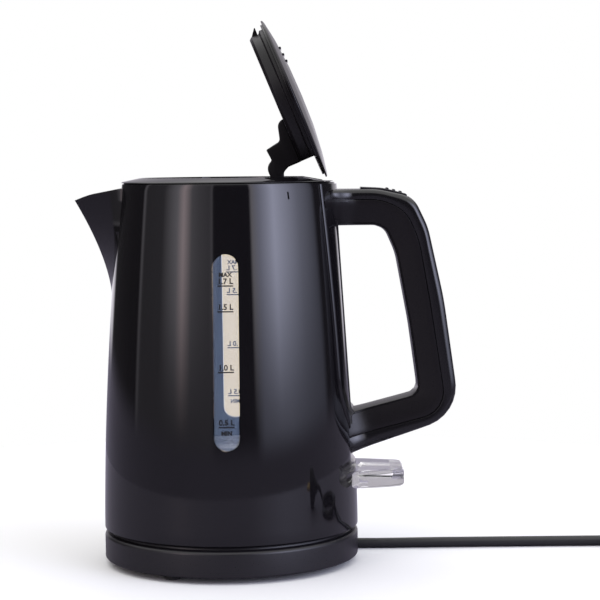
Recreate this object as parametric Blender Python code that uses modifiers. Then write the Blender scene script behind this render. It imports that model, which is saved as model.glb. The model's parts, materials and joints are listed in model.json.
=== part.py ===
"""A cordless electric kettle with its power base, mains lead and raised lid.

Lengths are in millimetres, and MM turns them into Blender's metres. The pieces are drawn about the
jug's own vertical axis, X to the rear where the handle is, and the whole is then moved by AXIS_X so
that the kettle's box is centred on the origin. The lid is drawn closed, about the hinge axis, and
its empty turns it open. Every moving piece hangs from an empty on its joint's axis.
"""

import math

import bmesh
import bpy
from mathutils import Matrix, Vector

MM = 0.001
GAP = 0.3  # left between pieces that touch
WALL = 2.4  # of the jug
ROUND = 32  # sides of a turned piece
JUG_ROUND = 40  # sides of the jug and of what follows its wall

# Power base
BASE_R = 77.8
BASE_LOW_Z = 3.8
BASE_EDGE_Z = 19.5
BASE_TOP_Z = 21.8
BASE_COVER_Z = 8.5
HUB_R = 38.5
SOCKET_R = 16.8
CONNECTOR_HOLE_R = 23.0
SOCKET_TOP_Z = 31.0
FOOT_RING_R = 66.0

# Jug
JUG_R = 77.8
JUG_TAPER = 12.2  # how much narrower it is TAPER_HEIGHT above its foot
TAPER_HEIGHT = 208.0
JUG_FOOT_Z = 22.5
JUG_TOP_Z = 229.0
RIM_TOP_Z = 240.0  # up to here the beak and the handle keep clear of the jug's outline
LEDGE_Z = 54.6
PLATE_Z = 58.6
FLAT_SLOPE = 0.062  # the rear flat leans in by this much a millimetre
FLAT_LOW_Z, FLAT_HIGH_Z = 64.0, 212.0
BOSS_RING_R = 69.0
WINDOW_X, WINDOW_W = 1.1, 15.1
WINDOW_LOW_Z, WINDOW_HIGH_Z = 77.8, 191.6
MOUTH_R = 47.5
RECESS_R = 52.2

# Spout
SPOUT_TIP_X, SPOUT_TIP_Z = -93.8, 222.0  # where its flat sides would meet
SPOUT_FRONT_X = -93.3  # of its blunted tip
SPOUT_LOW_Z = 162.0
SPOUT_REACH = 27.6  # past the jug's wall, at the tip's height
SPOUT_HALF_W = 22.0
SPOUT_WALL = 2.2
LIP_SLOPE = 0.3025

# Handle
HANDLE_HALF_W = 14.0
HANDLE_REAR_X = 137.8
AXIS_X = -(SPOUT_FRONT_X + HANDLE_REAR_X) / 2

# Joints, in jug coordinates (X, Z)
LID_PIVOT = (56.3, 227.7)
LID_OPEN = 67.7  # degrees
BUTTON_PIVOT = (83.5, 225.0)
SWITCH_PIVOT = (70.0, 48.6)
PIN_R = 1.85
SCREW_HEAD = 0.9
SCREW_DEPTH = 2.0  # of the handle's screws, in its underside

# Mains lead
CORD_R = 3.2
CORD_Z = 3.3  # of its middle, where it lies on the table
CORD_Y = 28.0
RELIEF_X = (27.6, 50.0)
RELIEF_Z = 4.5
COIL_R = 35.0
COIL_CENTRE = (286.0, CORD_Y - COIL_R)
COIL_HALF = 6.7  # half the width of the bundle of turns
PLUG_R = 18.5
PLUG_X = COIL_CENTRE[0] + COIL_R
PLUG_NECK_Y = -76.0

kettle = bpy.data.collections.new("electric_kettle")
cutters = bpy.data.collections.new("cutters")
materials = {}
frames = {}


def clear_scene():
    for obj in list(bpy.data.objects):
        bpy.data.objects.remove(obj, do_unlink=True)
    for collection in (kettle, cutters):
        bpy.context.scene.collection.children.link(collection)


def material(name, color, roughness, metallic=0.0, transmission=0.0):
    mat = bpy.data.materials.new(name)
    mat.use_nodes = True
    shader = mat.node_tree.nodes["Principled BSDF"]
    shader.inputs["Base Color"].default_value = (*color, 1.0)
    shader.inputs["Roughness"].default_value = roughness
    shader.inputs["Metallic"].default_value = metallic
    shader.inputs["Transmission Weight"].default_value = transmission
    materials[name] = mat


def make_materials():
    material("gloss_black", (0.012, 0.011, 0.014), 0.12)
    material("satin_black", (0.022, 0.021, 0.023), 0.38)
    material("lid_black", (0.035, 0.031, 0.035), 0.45)
    material("inner_white", (0.72, 0.70, 0.66), 0.4)
    material("clear", (0.85, 0.88, 0.9), 0.08, transmission=0.9)
    material("paddle_clear", (0.06, 0.06, 0.07), 0.1, transmission=0.5)
    material("steel", (0.62, 0.62, 0.64), 0.25, metallic=1.0)
    material("brass", (0.72, 0.52, 0.22), 0.3, metallic=1.0)
    material("rubber", (0.03, 0.03, 0.03), 0.8)
    material("silicone", (0.55, 0.55, 0.55), 0.6)
    material("cord_black", (0.015, 0.015, 0.017), 0.45)


def joint_frame(name, origin, parent=None, angle=0.0):
    """An empty on a joint's axis, turned by angle about Y. Its children are drawn unturned."""
    empty = bpy.data.objects.new(name, None)
    empty.empty_display_size = 0.01
    kettle.objects.link(empty)
    empty.parent = parent
    start = Vector((-AXIS_X, 0, 0)) if parent is None else Vector(frames[parent.name])
    empty.location = (Vector(origin) - start) * MM
    empty.rotation_euler = (0, math.radians(angle), 0)
    frames[name] = origin
    return empty


def place(obj, frame, mat):
    """Hang an object drawn in jug coordinates from a frame, in the parts' collection."""
    obj.location = obj.location - Vector(frames[frame.name]) * MM
    obj.parent = frame
    obj.data.materials.clear()
    obj.data.materials.append(materials[mat])
    kettle.objects.link(obj)
    return obj


def cutter(obj, frame):
    """Hang a tool shape from a frame, in the cutters' collection, unseen."""
    obj.location = obj.location - Vector(frames[frame.name]) * MM
    obj.parent = frame
    obj.hide_render = True
    obj.display_type = "WIRE"
    cutters.objects.link(obj)
    return obj


def boolean(obj, tool, operation):
    mod = obj.modifiers.new(tool.name, "BOOLEAN")
    mod.operation = operation
    mod.object = tool
    mod.solver = "EXACT"


def cut(obj, frame, *tools):
    for tool in tools:
        boolean(obj, cutter(tool, frame), "DIFFERENCE")


def join(obj, frame, *tools):
    for tool in tools:
        boolean(obj, cutter(tool, frame), "UNION")


def common(obj, frame, tool):
    boolean(obj, cutter(tool, frame), "INTERSECT")


# Shapes: each returns an object that is in no collection yet, drawn in jug coordinates


def fillet(points, arc=16.0):
    """A closed outline of (x, y) or (x, y, radius) corners, each radius made an arc."""
    out = []
    for i, corner in enumerate(points):
        here = Vector(corner[:2])
        radius = corner[2] if len(corner) > 2 else 0.0
        if not radius:
            out.append(tuple(here))
            continue
        back = (Vector(points[i - 1][:2]) - here).normalized()
        ahead = (Vector(points[(i + 1) % len(points)][:2]) - here).normalized()
        turn = math.pi - back.angle(ahead)
        reach = radius * math.tan(turn / 2)
        centre = here + (back + ahead).normalized() * radius / math.cos(turn / 2)
        first = here + back * reach - centre
        steps = max(1, math.ceil(math.degrees(turn) / arc))
        way = 1 if back.cross(ahead) < 0 else -1
        for k in range(steps + 1):
            spin = Matrix.Rotation(way * turn * k / steps, 2)
            out.append(tuple(centre + spin @ first))
    return out


def turned(name, profile, steps=ROUND, centre=(0, 0)):
    """A solid of revolution about the vertical line at centre. The profile is (radius, z) points
    that run down the outer side; it is closed into a ring unless both its ends are on the axis."""
    mesh = bpy.data.meshes.new(name)
    count = len(profile)
    on_axis = profile[0][0] == 0 and profile[-1][0] == 0
    edges = [(i, (i + 1) % count) for i in range(count - on_axis)]
    mesh.from_pydata([(r * MM, 0, z * MM) for r, z in profile], edges, [])
    obj = bpy.data.objects.new(name, mesh)
    obj.location = Vector((*centre, 0)) * MM
    mod = obj.modifiers.new("turn", "SCREW")
    mod.steps = steps
    mod.render_steps = steps
    mod.use_merge_vertices = True
    mod.merge_threshold = 0.00001
    return obj


def as_mesh(obj):
    """The curve object as a closed mesh object, with its place baked in."""
    bpy.context.scene.collection.objects.link(obj)
    bpy.context.view_layer.update()
    evaluated = obj.evaluated_get(bpy.context.evaluated_depsgraph_get())
    mesh = bpy.data.meshes.new_from_object(evaluated)
    mesh.transform(obj.matrix_world)
    name = obj.name
    bpy.data.objects.remove(obj)
    shape = bmesh.new()
    shape.from_mesh(mesh)
    bmesh.ops.remove_doubles(shape, verts=shape.verts, dist=0.000005)
    shape.to_mesh(mesh)
    shape.free()
    mesh.name = name
    return bpy.data.objects.new(name, mesh)


def sheet(name, outlines, low, high, rounding, upright):
    curve = bpy.data.curves.new(name, "CURVE")
    curve.dimensions = "2D"
    curve.fill_mode = "BOTH"
    curve.extrude = ((high - low) / 2 - rounding) * MM
    curve.bevel_depth = rounding * MM
    curve.bevel_resolution = 0
    curve.offset = -rounding * MM
    for outline in outlines:
        spline = curve.splines.new("POLY")
        spline.points.add(len(outline) - 1)
        for point, (x, y) in zip(spline.points, outline):
            point.co = (x * MM, y * MM, 0, 1)
        spline.use_cyclic_u = True
    obj = bpy.data.objects.new(name, curve)
    middle = (low + high) / 2 * MM
    if upright:
        obj.rotation_euler = (math.pi / 2, 0, 0)
        obj.location = (0, middle, 0)
    else:
        obj.location = (0, 0, middle)
    return as_mesh(obj)


def side_slab(name, outlines, half, rounding=0.0, y=0.0):
    """Outlines in X and Z, given thickness along Y. A second outline is a hole."""
    return sheet(name, outlines, y - half, y + half, rounding, True)


def plan_slab(name, outlines, low, high, rounding=0.0):
    """Outlines in X and Y, given thickness from low to high."""
    return sheet(name, outlines, low, high, rounding, False)


def block(name, low, high):
    mesh = bpy.data.meshes.new(name)
    shape = bmesh.new()
    bmesh.ops.create_cube(shape, size=1.0)
    size = [(b - a) * MM for a, b in zip(low, high)]
    bmesh.ops.scale(shape, vec=size, verts=shape.verts)
    shape.to_mesh(mesh)
    shape.free()
    obj = bpy.data.objects.new(name, mesh)
    obj.location = (Vector(low) + Vector(high)) / 2 * MM
    return obj


def rod(name, start, end, radius, end_radius=None, sides=16):
    """A cylinder, or a cone, from start to end."""
    mesh = bpy.data.meshes.new(name)
    axis = Vector(end) - Vector(start)
    shape = bmesh.new()
    last = radius if end_radius is None else end_radius
    bmesh.ops.create_cone(
        shape, cap_ends=True, segments=sides, radius1=radius * MM, radius2=last * MM,
        depth=axis.length * MM,
    )
    turn = axis.to_track_quat("Z", "Y").to_matrix().to_4x4()
    bmesh.ops.transform(shape, matrix=turn, verts=shape.verts)
    shape.to_mesh(mesh)
    shape.free()
    obj = bpy.data.objects.new(name, mesh)
    obj.location = (Vector(start) + Vector(end)) / 2 * MM
    return obj


def wire(name, points, radius, resolution=2):
    """A round bar along the points."""
    curve = bpy.data.curves.new(name, "CURVE")
    curve.dimensions = "3D"
    curve.bevel_depth = radius * MM
    curve.bevel_resolution = resolution
    curve.use_fill_caps = True
    spline = curve.splines.new("POLY")
    spline.points.add(len(points) - 1)
    for point, place_at in zip(spline.points, points):
        point.co = (*(Vector(place_at) * MM), 1)
    return as_mesh(bpy.data.objects.new(name, curve))


def upright_screw(name, x, y, low, high):
    """A screw with its head down, turned in one piece."""
    head, shank, neck = 2.8, 1.25, low + SCREW_HEAD
    profile = [(0, high), (shank, high), (shank, neck), (head, neck), (head, low), (0, low)]
    return turned(name, profile, 10, (x, y))


def coil_points(turns, radius, length, per_turn=8):
    """A helix along +Z that starts at the origin's level."""
    count = round(turns * per_turn)
    for i in range(count + 1):
        angle = 2 * math.pi * i / per_turn
        yield (radius * math.cos(angle), radius * math.sin(angle), length * i / count)


def ring_places(radius, first_angle, count=3):
    for i in range(count):
        angle = math.radians(first_angle + 360 / count * i)
        yield radius * math.cos(angle), radius * math.sin(angle)


# Jug geometry


def jug_radius(z):
    return JUG_R - JUG_TAPER * max(0.0, (z - 22.0) / TAPER_HEIGHT) ** 1.7


def flat_x(z):
    """The rear flat that the handle's spine lies on."""
    return 66.3 + (184.0 - z) * FLAT_SLOPE


def spout_reach(z):
    return jug_radius(z) + SPOUT_REACH * (max(0.0, z - SPOUT_LOW_Z) / 60.0) ** 1.5


def spout_half_width(z):
    rise = min(1.0, (z - SPOUT_LOW_Z) / 67.0)
    return SPOUT_HALF_W * (1 - (1 - rise) ** 4)


def spout(name, heights, inset):
    """The beak, lofted from level sections, each a wedge whose back is inside the jug."""
    shape = bmesh.new()
    rings = []
    for z in heights:
        reach = spout_reach(z)
        half = spout_half_width(z)
        corner_x = math.sqrt(jug_radius(z) ** 2 - half**2)
        slant = math.atan2(half, reach - corner_x)
        tip_x = reach - inset / math.sin(slant)
        side = half - inset
        knee_x = tip_x - side / math.tan(slant)
        back_x = 50.0 - inset
        blunt = 1.2 / math.tan(slant)
        outline = [
            (-tip_x + blunt, 1.2), (-knee_x, side), (-back_x, side),
            (-back_x, -side), (-knee_x, -side), (-tip_x + blunt, -1.2),
            (-tip_x + blunt * 0.45, 0.0),
        ]
        rings.append([shape.verts.new((x * MM, y * MM, z * MM)) for x, y in outline])
    for low, high in zip(rings, rings[1:]):
        count = len(low)
        for i in range(count):
            j = (i + 1) % count
            shape.faces.new((low[i], low[j], high[j], high[i]))
    shape.faces.new(rings[0])
    shape.faces.new(rings[-1])
    bmesh.ops.recalc_face_normals(shape, faces=shape.faces)
    mesh = bpy.data.meshes.new(name)
    shape.to_mesh(mesh)
    shape.free()
    return bpy.data.objects.new(name, mesh)


def jug_levels(top, low, count):
    return [top + (low - top) * i / (count - 1) for i in range(count)]


def jug_solid(name, grow, frame, top=JUG_TOP_Z, low=JUG_FOOT_Z):
    """The jug's outer form, grown by some millimetres, with the flat at its rear."""
    sides = [(jug_radius(z) + grow, z) for z in jug_levels(top, low, 7)]
    solid = turned(name, [(0, top), *sides, (0, low)], JUG_ROUND)
    flat = side_slab(
        name + "_flat",
        [[
            (flat_x(FLAT_LOW_Z) + grow, FLAT_LOW_Z + grow), (100, FLAT_LOW_Z + grow),
            (100, FLAT_HIGH_Z - grow), (flat_x(FLAT_HIGH_Z) + grow, FLAT_HIGH_Z - grow),
        ]],
        45,
    )
    boolean(solid, cutter(flat, frame), "DIFFERENCE")
    return solid


def jug_cavity(frame):
    """The water space and, below a ledge, the space for the control."""
    upper = [(jug_radius(z) - WALL, z) for z in jug_levels(236.0, LEDGE_Z + 1.6, 7)]
    lower = [(jug_radius(z) - WALL, z) for z in (LEDGE_Z, 38.0, 20.0)]
    profile = [(0, 236.0), *upper, (68.0, LEDGE_Z + 1.6), (68.0, LEDGE_Z), *lower, (0, 20.0)]
    cavity = turned("jug_cavity", profile, JUG_ROUND)
    keep = FLAT_LOW_Z - WALL
    flat = side_slab(
        "cavity_flat",
        [[
            (flat_x(keep) - WALL, keep), (100, keep), (100, FLAT_HIGH_Z + WALL),
            (flat_x(FLAT_HIGH_Z) - WALL, FLAT_HIGH_Z + WALL),
        ]],
        45,
    )
    boolean(cavity, cutter(flat, frame), "DIFFERENCE")
    return cavity


def window_outline(inset):
    half = WINDOW_W / 2 - inset
    low, high = WINDOW_LOW_Z + inset, WINDOW_HIGH_Z - inset
    round_r = half - 0.01
    corners = [(-half, low), (half, low), (half, high), (-half, high)]
    return fillet([(WINDOW_X + x, z, round_r) for x, z in corners], arc=20.0)


def lip_cut():
    """Everything above the spout's slanted lip."""
    level = SPOUT_TIP_Z - LIP_SLOPE * (100.0 + SPOUT_TIP_X)
    rear = SPOUT_TIP_Z + LIP_SLOPE * (-40.0 - SPOUT_TIP_X)
    low_front = level - LIP_SLOPE * 20.0
    return side_slab("lip_cut", [[(-120, low_front), (-40, rear), (-40, 260), (-120, 260)]], 40)


def throat(name):
    """The space inside the beak, which also opens the jug's wall behind it."""
    return spout(name, (170, 176, 184, 194, 206, 220, 238), SPOUT_WALL)


def make_spout(jug):
    """The beak is a moulding of its own on the front of the jug."""
    beak = spout("spout_beak", (163, 168, 174, 182, 192, 203, 214, 224, 236), 0.0)
    place(beak, jug, "satin_black")
    cut(beak, jug, lip_cut(), jug_solid("spout_seat", GAP, jug, top=RIM_TOP_Z), throat("beak_throat"))


def make_jug_shell(jug):
    shell = place(jug_solid("jug_shell", 0.0, jug), jug, "gloss_black")
    slots = side_slab("window_slots", [window_outline(0.0)], 95)
    switch_slot = block("switch_slot", (60, -9.5, 42.2), (90, 9.5, 54.3))
    slider_hole = block("slider_hole", (56, -3.3, 213.5), (75, 3.3, 217.5))
    cut(shell, jug, jug_cavity(jug), throat("jug_throat"), slots, switch_slot, slider_hole)
    for i, (x, y) in enumerate(ring_places(BOSS_RING_R, 60)):
        join(shell, jug, rod(f"boss_{i}", (x, y, 25.6), (x, y, LEDGE_Z + 0.6), 4.0))
        cut(shell, jug, rod(f"boss_hole_{i}", (x, y, 24.0), (x, y, 40.0), 1.6, sides=10))


def make_windows(jug):
    for side, name in ((-1, "gauge_window_near"), (1, "gauge_window_far")):
        pane = side_slab(name, [window_outline(GAP)], 20, y=side * 72)
        place(pane, jug, "clear")
        outer = [(jug_radius(z), z) for z in jug_levels(200.0, 70.0, 5)]
        inner = [(jug_radius(z) - WALL, z) for z in jug_levels(70.0, 200.0, 5)]
        common(pane, jug, turned(name + "_wall", outer + inner, JUG_ROUND))


def make_collar(jug):
    profile = [
        (RECESS_R, 235.4), (53.0, 235.4), (64.2, 232.5), (64.8, 231.8), (64.8, 229.3),
        (62.9, 229.3), (62.9, 224.0), (60.9, 224.0), (60.9, 229.5), (MOUTH_R, 229.5),
        (MOUTH_R, 232.1), (RECESS_R, 232.1),
    ]
    collar = place(turned("top_collar", profile, JUG_ROUND), jug, "gloss_black")
    x, z = LID_PIVOT
    for side in (-1, 1):
        ear = block(f"ear_{side}", (51.5, 12.55 - 1.75, 222.5), (61.0, 12.55 + 1.75, 230.5))
        ear.location.y *= side
        join(collar, jug, ear)
    cut(
        collar, jug,
        block("lid_swing_room", (44, -27, 232.7), (70, 27, 240)),
        block("arm_slot", (40, -10.5, 220), (63.4, 10.5, 240)),
        rod("hinge_bore", (x, -14.6, z), (x, 14.6, z), PIN_R + GAP),
    )


def make_heater(jug):
    disc = [(0, PLATE_Z + 1), (72.9, PLATE_Z + 1), (72.9, PLATE_Z), (0, PLATE_Z)]
    plate = place(turned("heating_plate", disc), jug, "steel")
    tube_x, tube_y = 54.0, 21.0
    cut(plate, jug, rod("tube_hole", (tube_x, tube_y, 50), (tube_x, tube_y, 65), 3.9))
    seal = [
        (74.4, 61.0), (74.4, 56.5), (69.8, 56.5), (69.8, PLATE_Z - GAP), (73.2, PLATE_Z - GAP),
        (73.2, PLATE_Z + 1 + GAP), (70.6, PLATE_Z + 1 + GAP), (70.6, 61.0),
    ]
    place(turned("plate_seal", seal), jug, "silicone")
    sweep = [math.radians(18 + 324 * i / 18) for i in range(19)]
    arc = [(48 * math.cos(a), 48 * math.sin(a), 54.7) for a in sweep]
    start, end = ((x, y, 45.0) for x, y, _ in (arc[0], arc[-1]))
    place(wire("heating_element", [start, *arc, end], 3.3), jug, "steel")
    tube = [(3.5, 215.0), (3.5, 50.0), (2.5, 50.0), (2.5, 215.0)]
    place(turned("steam_tube", tube, 12, (tube_x, tube_y)), jug, "inner_white")
    corners = [(-22, -17, 4), (22, -17, 4), (22, 17, 4), (-22, 17, 4)]
    place(plan_slab("thermostat_control", [fillet(corners, 30)], 38.0, 51.0, 1.0), jug, "satin_black")


def make_filter(jug):
    frame = block("spout_filter", (-60.6, -17.5, 172.0), (-59.2, 17.5, 223.4))
    place(frame, jug, "inner_white")
    for column in range(2):
        for row in range(4):
            y, z = -15.5 + 16.2 * column, 174.0 + 12.2 * row
            cut(frame, jug, block(f"mesh_{column}{row}", (-62, y, z), (-58, y + 14.8, z + 10.8)))


def make_jug_bottom(jug):
    profile = [(CONNECTOR_HOLE_R, 25.0), (74.9, 25.0), (74.9, 23.2), (CONNECTOR_HOLE_R, 23.2)]
    cover = place(turned("jug_bottom_cover", profile), jug, "satin_black")
    for i, (x, y) in enumerate(ring_places(BOSS_RING_R, 60)):
        cut(cover, jug, rod(f"cover_hole_{i}", (x, y, 20), (x, y, 30), 1.8, sides=12))
        cut(cover, jug, rod(f"cover_sink_{i}", (x, y, 20), (x, y, 24), 3.2, sides=12))
        screw = upright_screw(f"jug_screw_{i + 1}", x, y, 24.0 - GAP - SCREW_HEAD, 33.0)
        place(screw, jug, "steel")


# Handle


def handle_outer():
    return [
        (52, 227.6), (90, 227.6, 40), (110.2, 222.2, 10), (122.6, 201.0, 30),
        (131.2, 160.0, 200), (140.8, 89.6, 25.5), (66, 64.2), (52, 64.2),
    ]


def handle_seam(shift):
    """The line between the cover and the frame, moved out from the hand gap by shift."""
    return [
        (50, 221.2 + shift), (92, 221.2 + shift, 22), (107.6 + shift, 211.6, 10),
        (115.2 + shift, 196.0, 40), (122.2 + shift, 159.0, 200),
        (132.0 + shift, 92.3 - shift, 16), (50, 71.5 - shift),
    ]


def spine_face(z):
    return flat_x(z) + 2.0


def hand_gap():
    """The opening for the fingers, with the spine that lies on the jug as its front side."""
    return [
        (spine_face(205.4), 205.4), (93.2, 205.4, 14), (101.4, 189.5, 40), (109.5, 146.0, 150),
        (115.1, 103.2, 6), (spine_face(93.2), 93.2),
    ]


def flare(name, low, high):
    """Where the handle widens to meet the jug, hollow-sided in plan."""
    sides = [(81.0 - 15.0 * i / 7, 13.2 + 13.0 * (i / 7) ** 2.2) for i in range(8)]
    outline = [*sides, (50, 26.2), (50, -26.2), *((x, -y) for x, y in reversed(sides))]
    return plan_slab(name, [outline], low, high, 1.5)


def make_handle(jug):
    outlines = [fillet(handle_seam(0.0)), fillet(hand_gap())]
    frame = side_slab("handle_frame", outlines, HANDLE_HALF_W, 3.0)
    place(frame, jug, "satin_black")
    join(frame, jug, flare("frame_top_flare", 205.6, 221.1), flare("frame_low_flare", 80.2, 91.6))
    cut(
        frame, jug,
        jug_solid("frame_seat", GAP, jug, top=RIM_TOP_Z),
        block("button_well_frame", (80.4, -9.5, 217.0), (110.6, 9.5, 230)),
        block("lug_well", (80.6, -3.6, 212.8), (90, 3.6, 222)),
        block("slider_channel", (52, -3.2, 213.5), (86, 3.2, 217.5)),
    )
    cover = side_slab("handle_cover", [fillet(handle_outer())], HANDLE_HALF_W, 4.0)
    place(cover, jug, "gloss_black")
    cut(cover, jug, side_slab("frame_space", [fillet(handle_seam(GAP))], 40))
    join(cover, jug, flare("cover_top_flare", 221.6, 227.3))
    x, z = BUTTON_PIVOT
    cut(
        cover, jug,
        jug_solid("cover_seat", GAP, jug, top=RIM_TOP_Z),
        block("button_well_cover", (80.4, -9.5, 216.0), (110.6, 9.5, 230)),
        rod("button_pin_bore", (x, -12.4, z), (x, 12.4, z), 1.0 + GAP, sides=12),
    )
    place(rod("button_pin", (x, -12.0, z), (x, 12.0, z), 1.0, sides=12), jug, "steel")
    spring = wire("button_spring", list(coil_points(4, 2.7, 5.6)), 0.35, 1)
    spring.location = Vector((100, 0, 217.7)) * MM
    place(spring, jug, "steel")
    (rear_x, rear_z), (front_x, front_z) = handle_outer()[5][:2], handle_outer()[6][:2]
    for i, sx in enumerate((114.6, 84.0)):
        underside = front_z + (sx - front_x) / (rear_x - front_x) * (rear_z - front_z)
        sz = underside + SCREW_DEPTH
        place(upright_screw(f"handle_screw_{i + 1}", sx, 0, sz - 0.5, sz + 12.0), jug, "steel")
        bore = rod(f"handle_bore_{i}", (sx, 0, sz - 2.5), (sx, 0, sz + 20), 1.6, sides=10)
        sink = rod(f"handle_sink_{i}", (sx, 0, sz - 20), (sx, 0, sz + 1.8), 3.2, sides=14)
        cut(cover, jug, bore, sink)
        bore = rod(f"frame_bore_{i}", (sx, 0, sz - 2.5), (sx, 0, sz + 13), 1.6, sides=10)
        cut(frame, jug, bore)


def make_button(button, slider):
    x, z = BUTTON_PIVOT
    outline = [
        (81.0, 228.7, 0.4), (95.0, 228.0, 40), (108.9, 224.3, 1.2), (109.6, 220.9), (107.9, 220.9),
        (107.2, 222.8, 1.0), (95.0, 226.0, 40), (81.0, 227.2),
    ]
    top = side_slab("release_button", [fillet(outline)], 9.0)
    place(top, button, "satin_black")
    for i, (rx, rz) in enumerate(((97.3, 227.3), (101.3, 226.3), (105.3, 225.2))):
        join(top, button, rod(f"rib_{i}", (rx, -6.5, rz), (rx, 6.5, rz), 0.9, sides=10))
    lug = [(x - 2.3, z + 1.5), (x + 2.3, z + 2.2), (x + 2.3, z - 4), (x + 1.2, 214.4), (x - 0.9, 214.4),
           (x - 0.9, z - 4), (x - 2.3, z - 2)]
    join(top, button, side_slab("button_lug", [lug], 2.9))
    cut(top, button, rod("lug_bore", (x, -5, z), (x, 5, z), 1.0 + GAP, sides=12))
    bar = block("release_slider", (60.5, -2.8, 213.9), (x - 1.25, 2.8, 217.1))
    place(bar, slider, "satin_black")


# Steam switch


def make_switch(jug, switch):
    x, z = SWITCH_PIVOT
    low, high = 43.4, 53.8
    inner_r = jug_radius(46) + 1.6
    arc = [math.radians(a) for a in (-21, -14, -7, 0, 7, 14, 21)]
    root = [(inner_r * math.cos(a), inner_r * math.sin(a)) for a in arc]
    tip = fillet([(82.0, 27.8, 6), (105.9, 19.5, 7), (105.9, -19.5, 7), (82.0, -27.8, 6)], 25)
    paddle = plan_slab("switch_paddle", [root + tip], low, high, 1.6)
    place(paddle, switch, "paddle_clear")
    stem = block("paddle_stem", (x - 4.0, -8.4, 44.9), (inner_r + 4, 8.4, 52.3))
    join(paddle, switch, stem)
    groove = [(92, 47.9), (112, 47.6), (112, 49.6), (92, 49.3)]
    cut(
        paddle, switch,
        side_slab("paddle_groove", [groove], 40),
        rod("stem_bore", (x, -12, z), (x, 12, z), PIN_R + GAP, sides=12),
    )
    place(rod("switch_pin", (x, -13.2, z), (x, 13.2, z), PIN_R, sides=12), jug, "steel")
    plan = [
        (55.0, -14.0), (72.6, -14.0), (72.6, -9.3), (60.4, -9.3), (60.4, 9.3), (72.6, 9.3),
        (72.6, 14.0), (55.0, 14.0),
    ]
    bracket = place(plan_slab("switch_bracket", [plan], 43.0, 53.6), jug, "satin_black")
    cut(bracket, jug, rod("bracket_bore", (x, -15, z), (x, 15, z), PIN_R + GAP, sides=12))
    place(rod("bimetal_disc", (54.0, 0, z), (54.6, 0, z), 8.0, sides=20), jug, "brass")
    place(rod("indicator_lamp", (63.0, -5, z), (63.0, 5, z), 1.8, sides=12), jug, "clear")


# Lid, drawn closed


def make_lid(jug, lid, latch):
    x, z = LID_PIVOT
    cover = [
        (0, 238.8), (20, 238.3), (38, 236.9), (49.6, 235.3), (51.1, 234.8), (51.1, 233.9),
        (48.9, 233.9), (48.9, 232.7), (46.5, 232.7), (46.5, 234.2), (38, 235.2), (20, 236.6),
        (0, 237.0),
    ]
    top = place(turned("lid_top_cover", cover), lid, "lid_black")
    for i, rib_x in enumerate((-31.3, -27.0, -22.7)):
        rib = rod(f"lid_rib_{i}", (rib_x, -11, 238.3), (rib_x, 11, 238.3), 1.1, sides=10)
        join(top, lid, rib)

    flat_rear = 36.4
    outside = [(0, 233.4), (46.2, 233.4), (46.2, 230.8), (44.6, 230.0), (44.6, 225.2), (42.9, 223.4),
               (0, 223.4)]
    inside = [(0, 240.0), (44.6, 240.0), (44.6, 231.0), (42.8, 230.0), (42.8, 224.9), (0, 224.9)]
    cup = place(turned("lid_inner_cup", outside), lid, "lid_black")
    hollow = turned("cup_hollow", inside)
    boolean(hollow, cutter(block("hollow_end", (flat_rear - 1.6, -60, 200), (60, 60, 250)), lid),
            "DIFFERENCE")
    seat = block("spring_seat", (-13.0, -4.5, 224.5), (-11.4, 4.5, 229.6))
    cut(cup, lid, block("cup_rear", (flat_rear, -60, 200), (60, 60, 250)), hollow)
    cut(cup, lid, block("latch_slot", (-52, -7.4, 225.0), (-40, 7.4, 229.7)))
    join(cup, lid, seat)

    arm = [
        (8.6, 223.1), (9.6, 220.2, 3), (20.2, 216.6, 2.5), (21.9, 206.9, 0.8), (29.0, 207.6, 1.5),
        (31.8, 203.0, 2), (43.0, 202.9, 8), (61.0, 221.5, 5), (61.0, 227.7), (51.6, 227.7),
        (50.6, 222.5, 6), (44.2, 210.8, 3), (38.8, 210.8, 3.5), (36.6, 215.4, 2), (36.6, 223.1),
    ]
    gooseneck = side_slab("lid_hinge_arm", [fillet(arm)], 9.0)
    place(gooseneck, lid, "lid_black")
    join(gooseneck, lid, rod("arm_eye", (x, -9.0, z), (x, 9.0, z), 5.0, sides=20))
    cut(
        gooseneck, lid,
        rod("arm_bore", (x, -12, z), (x, 12, z), PIN_R + GAP),
        block("arm_spring_room", (50.3, -4.2, 220.5), (64, 4.2, 235)),
    )
    place(rod("hinge_pin", (x, -14.2, z), (x, 14.2, z), PIN_R), jug, "steel")
    spring = wire("lid_spring", list(coil_points(4, 3.3, 6.4)), 0.45, 1)
    spring.data.transform(Matrix.Rotation(-math.pi / 2, 4, "X"))
    spring.location = Vector((x, -3.2, z)) * MM
    place(spring, jug, "steel")

    bar = [(-49.1, 229.2), (-44.0, 225.3), (-26.0, 225.3), (-26.0, 229.2)]
    place(side_slab("lid_latch", [bar], 7.0), latch, "lid_black")
    latch_spring = wire("latch_spring", list(coil_points(5, 1.5, 12.0)), 0.3, 1)
    latch_spring.data.transform(Matrix.Rotation(math.pi / 2, 4, "Y"))
    latch_spring.location = Vector((-25.4, 0, 227.3)) * MM
    place(latch_spring, lid, "steel")


# Connector between the jug and the base


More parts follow.
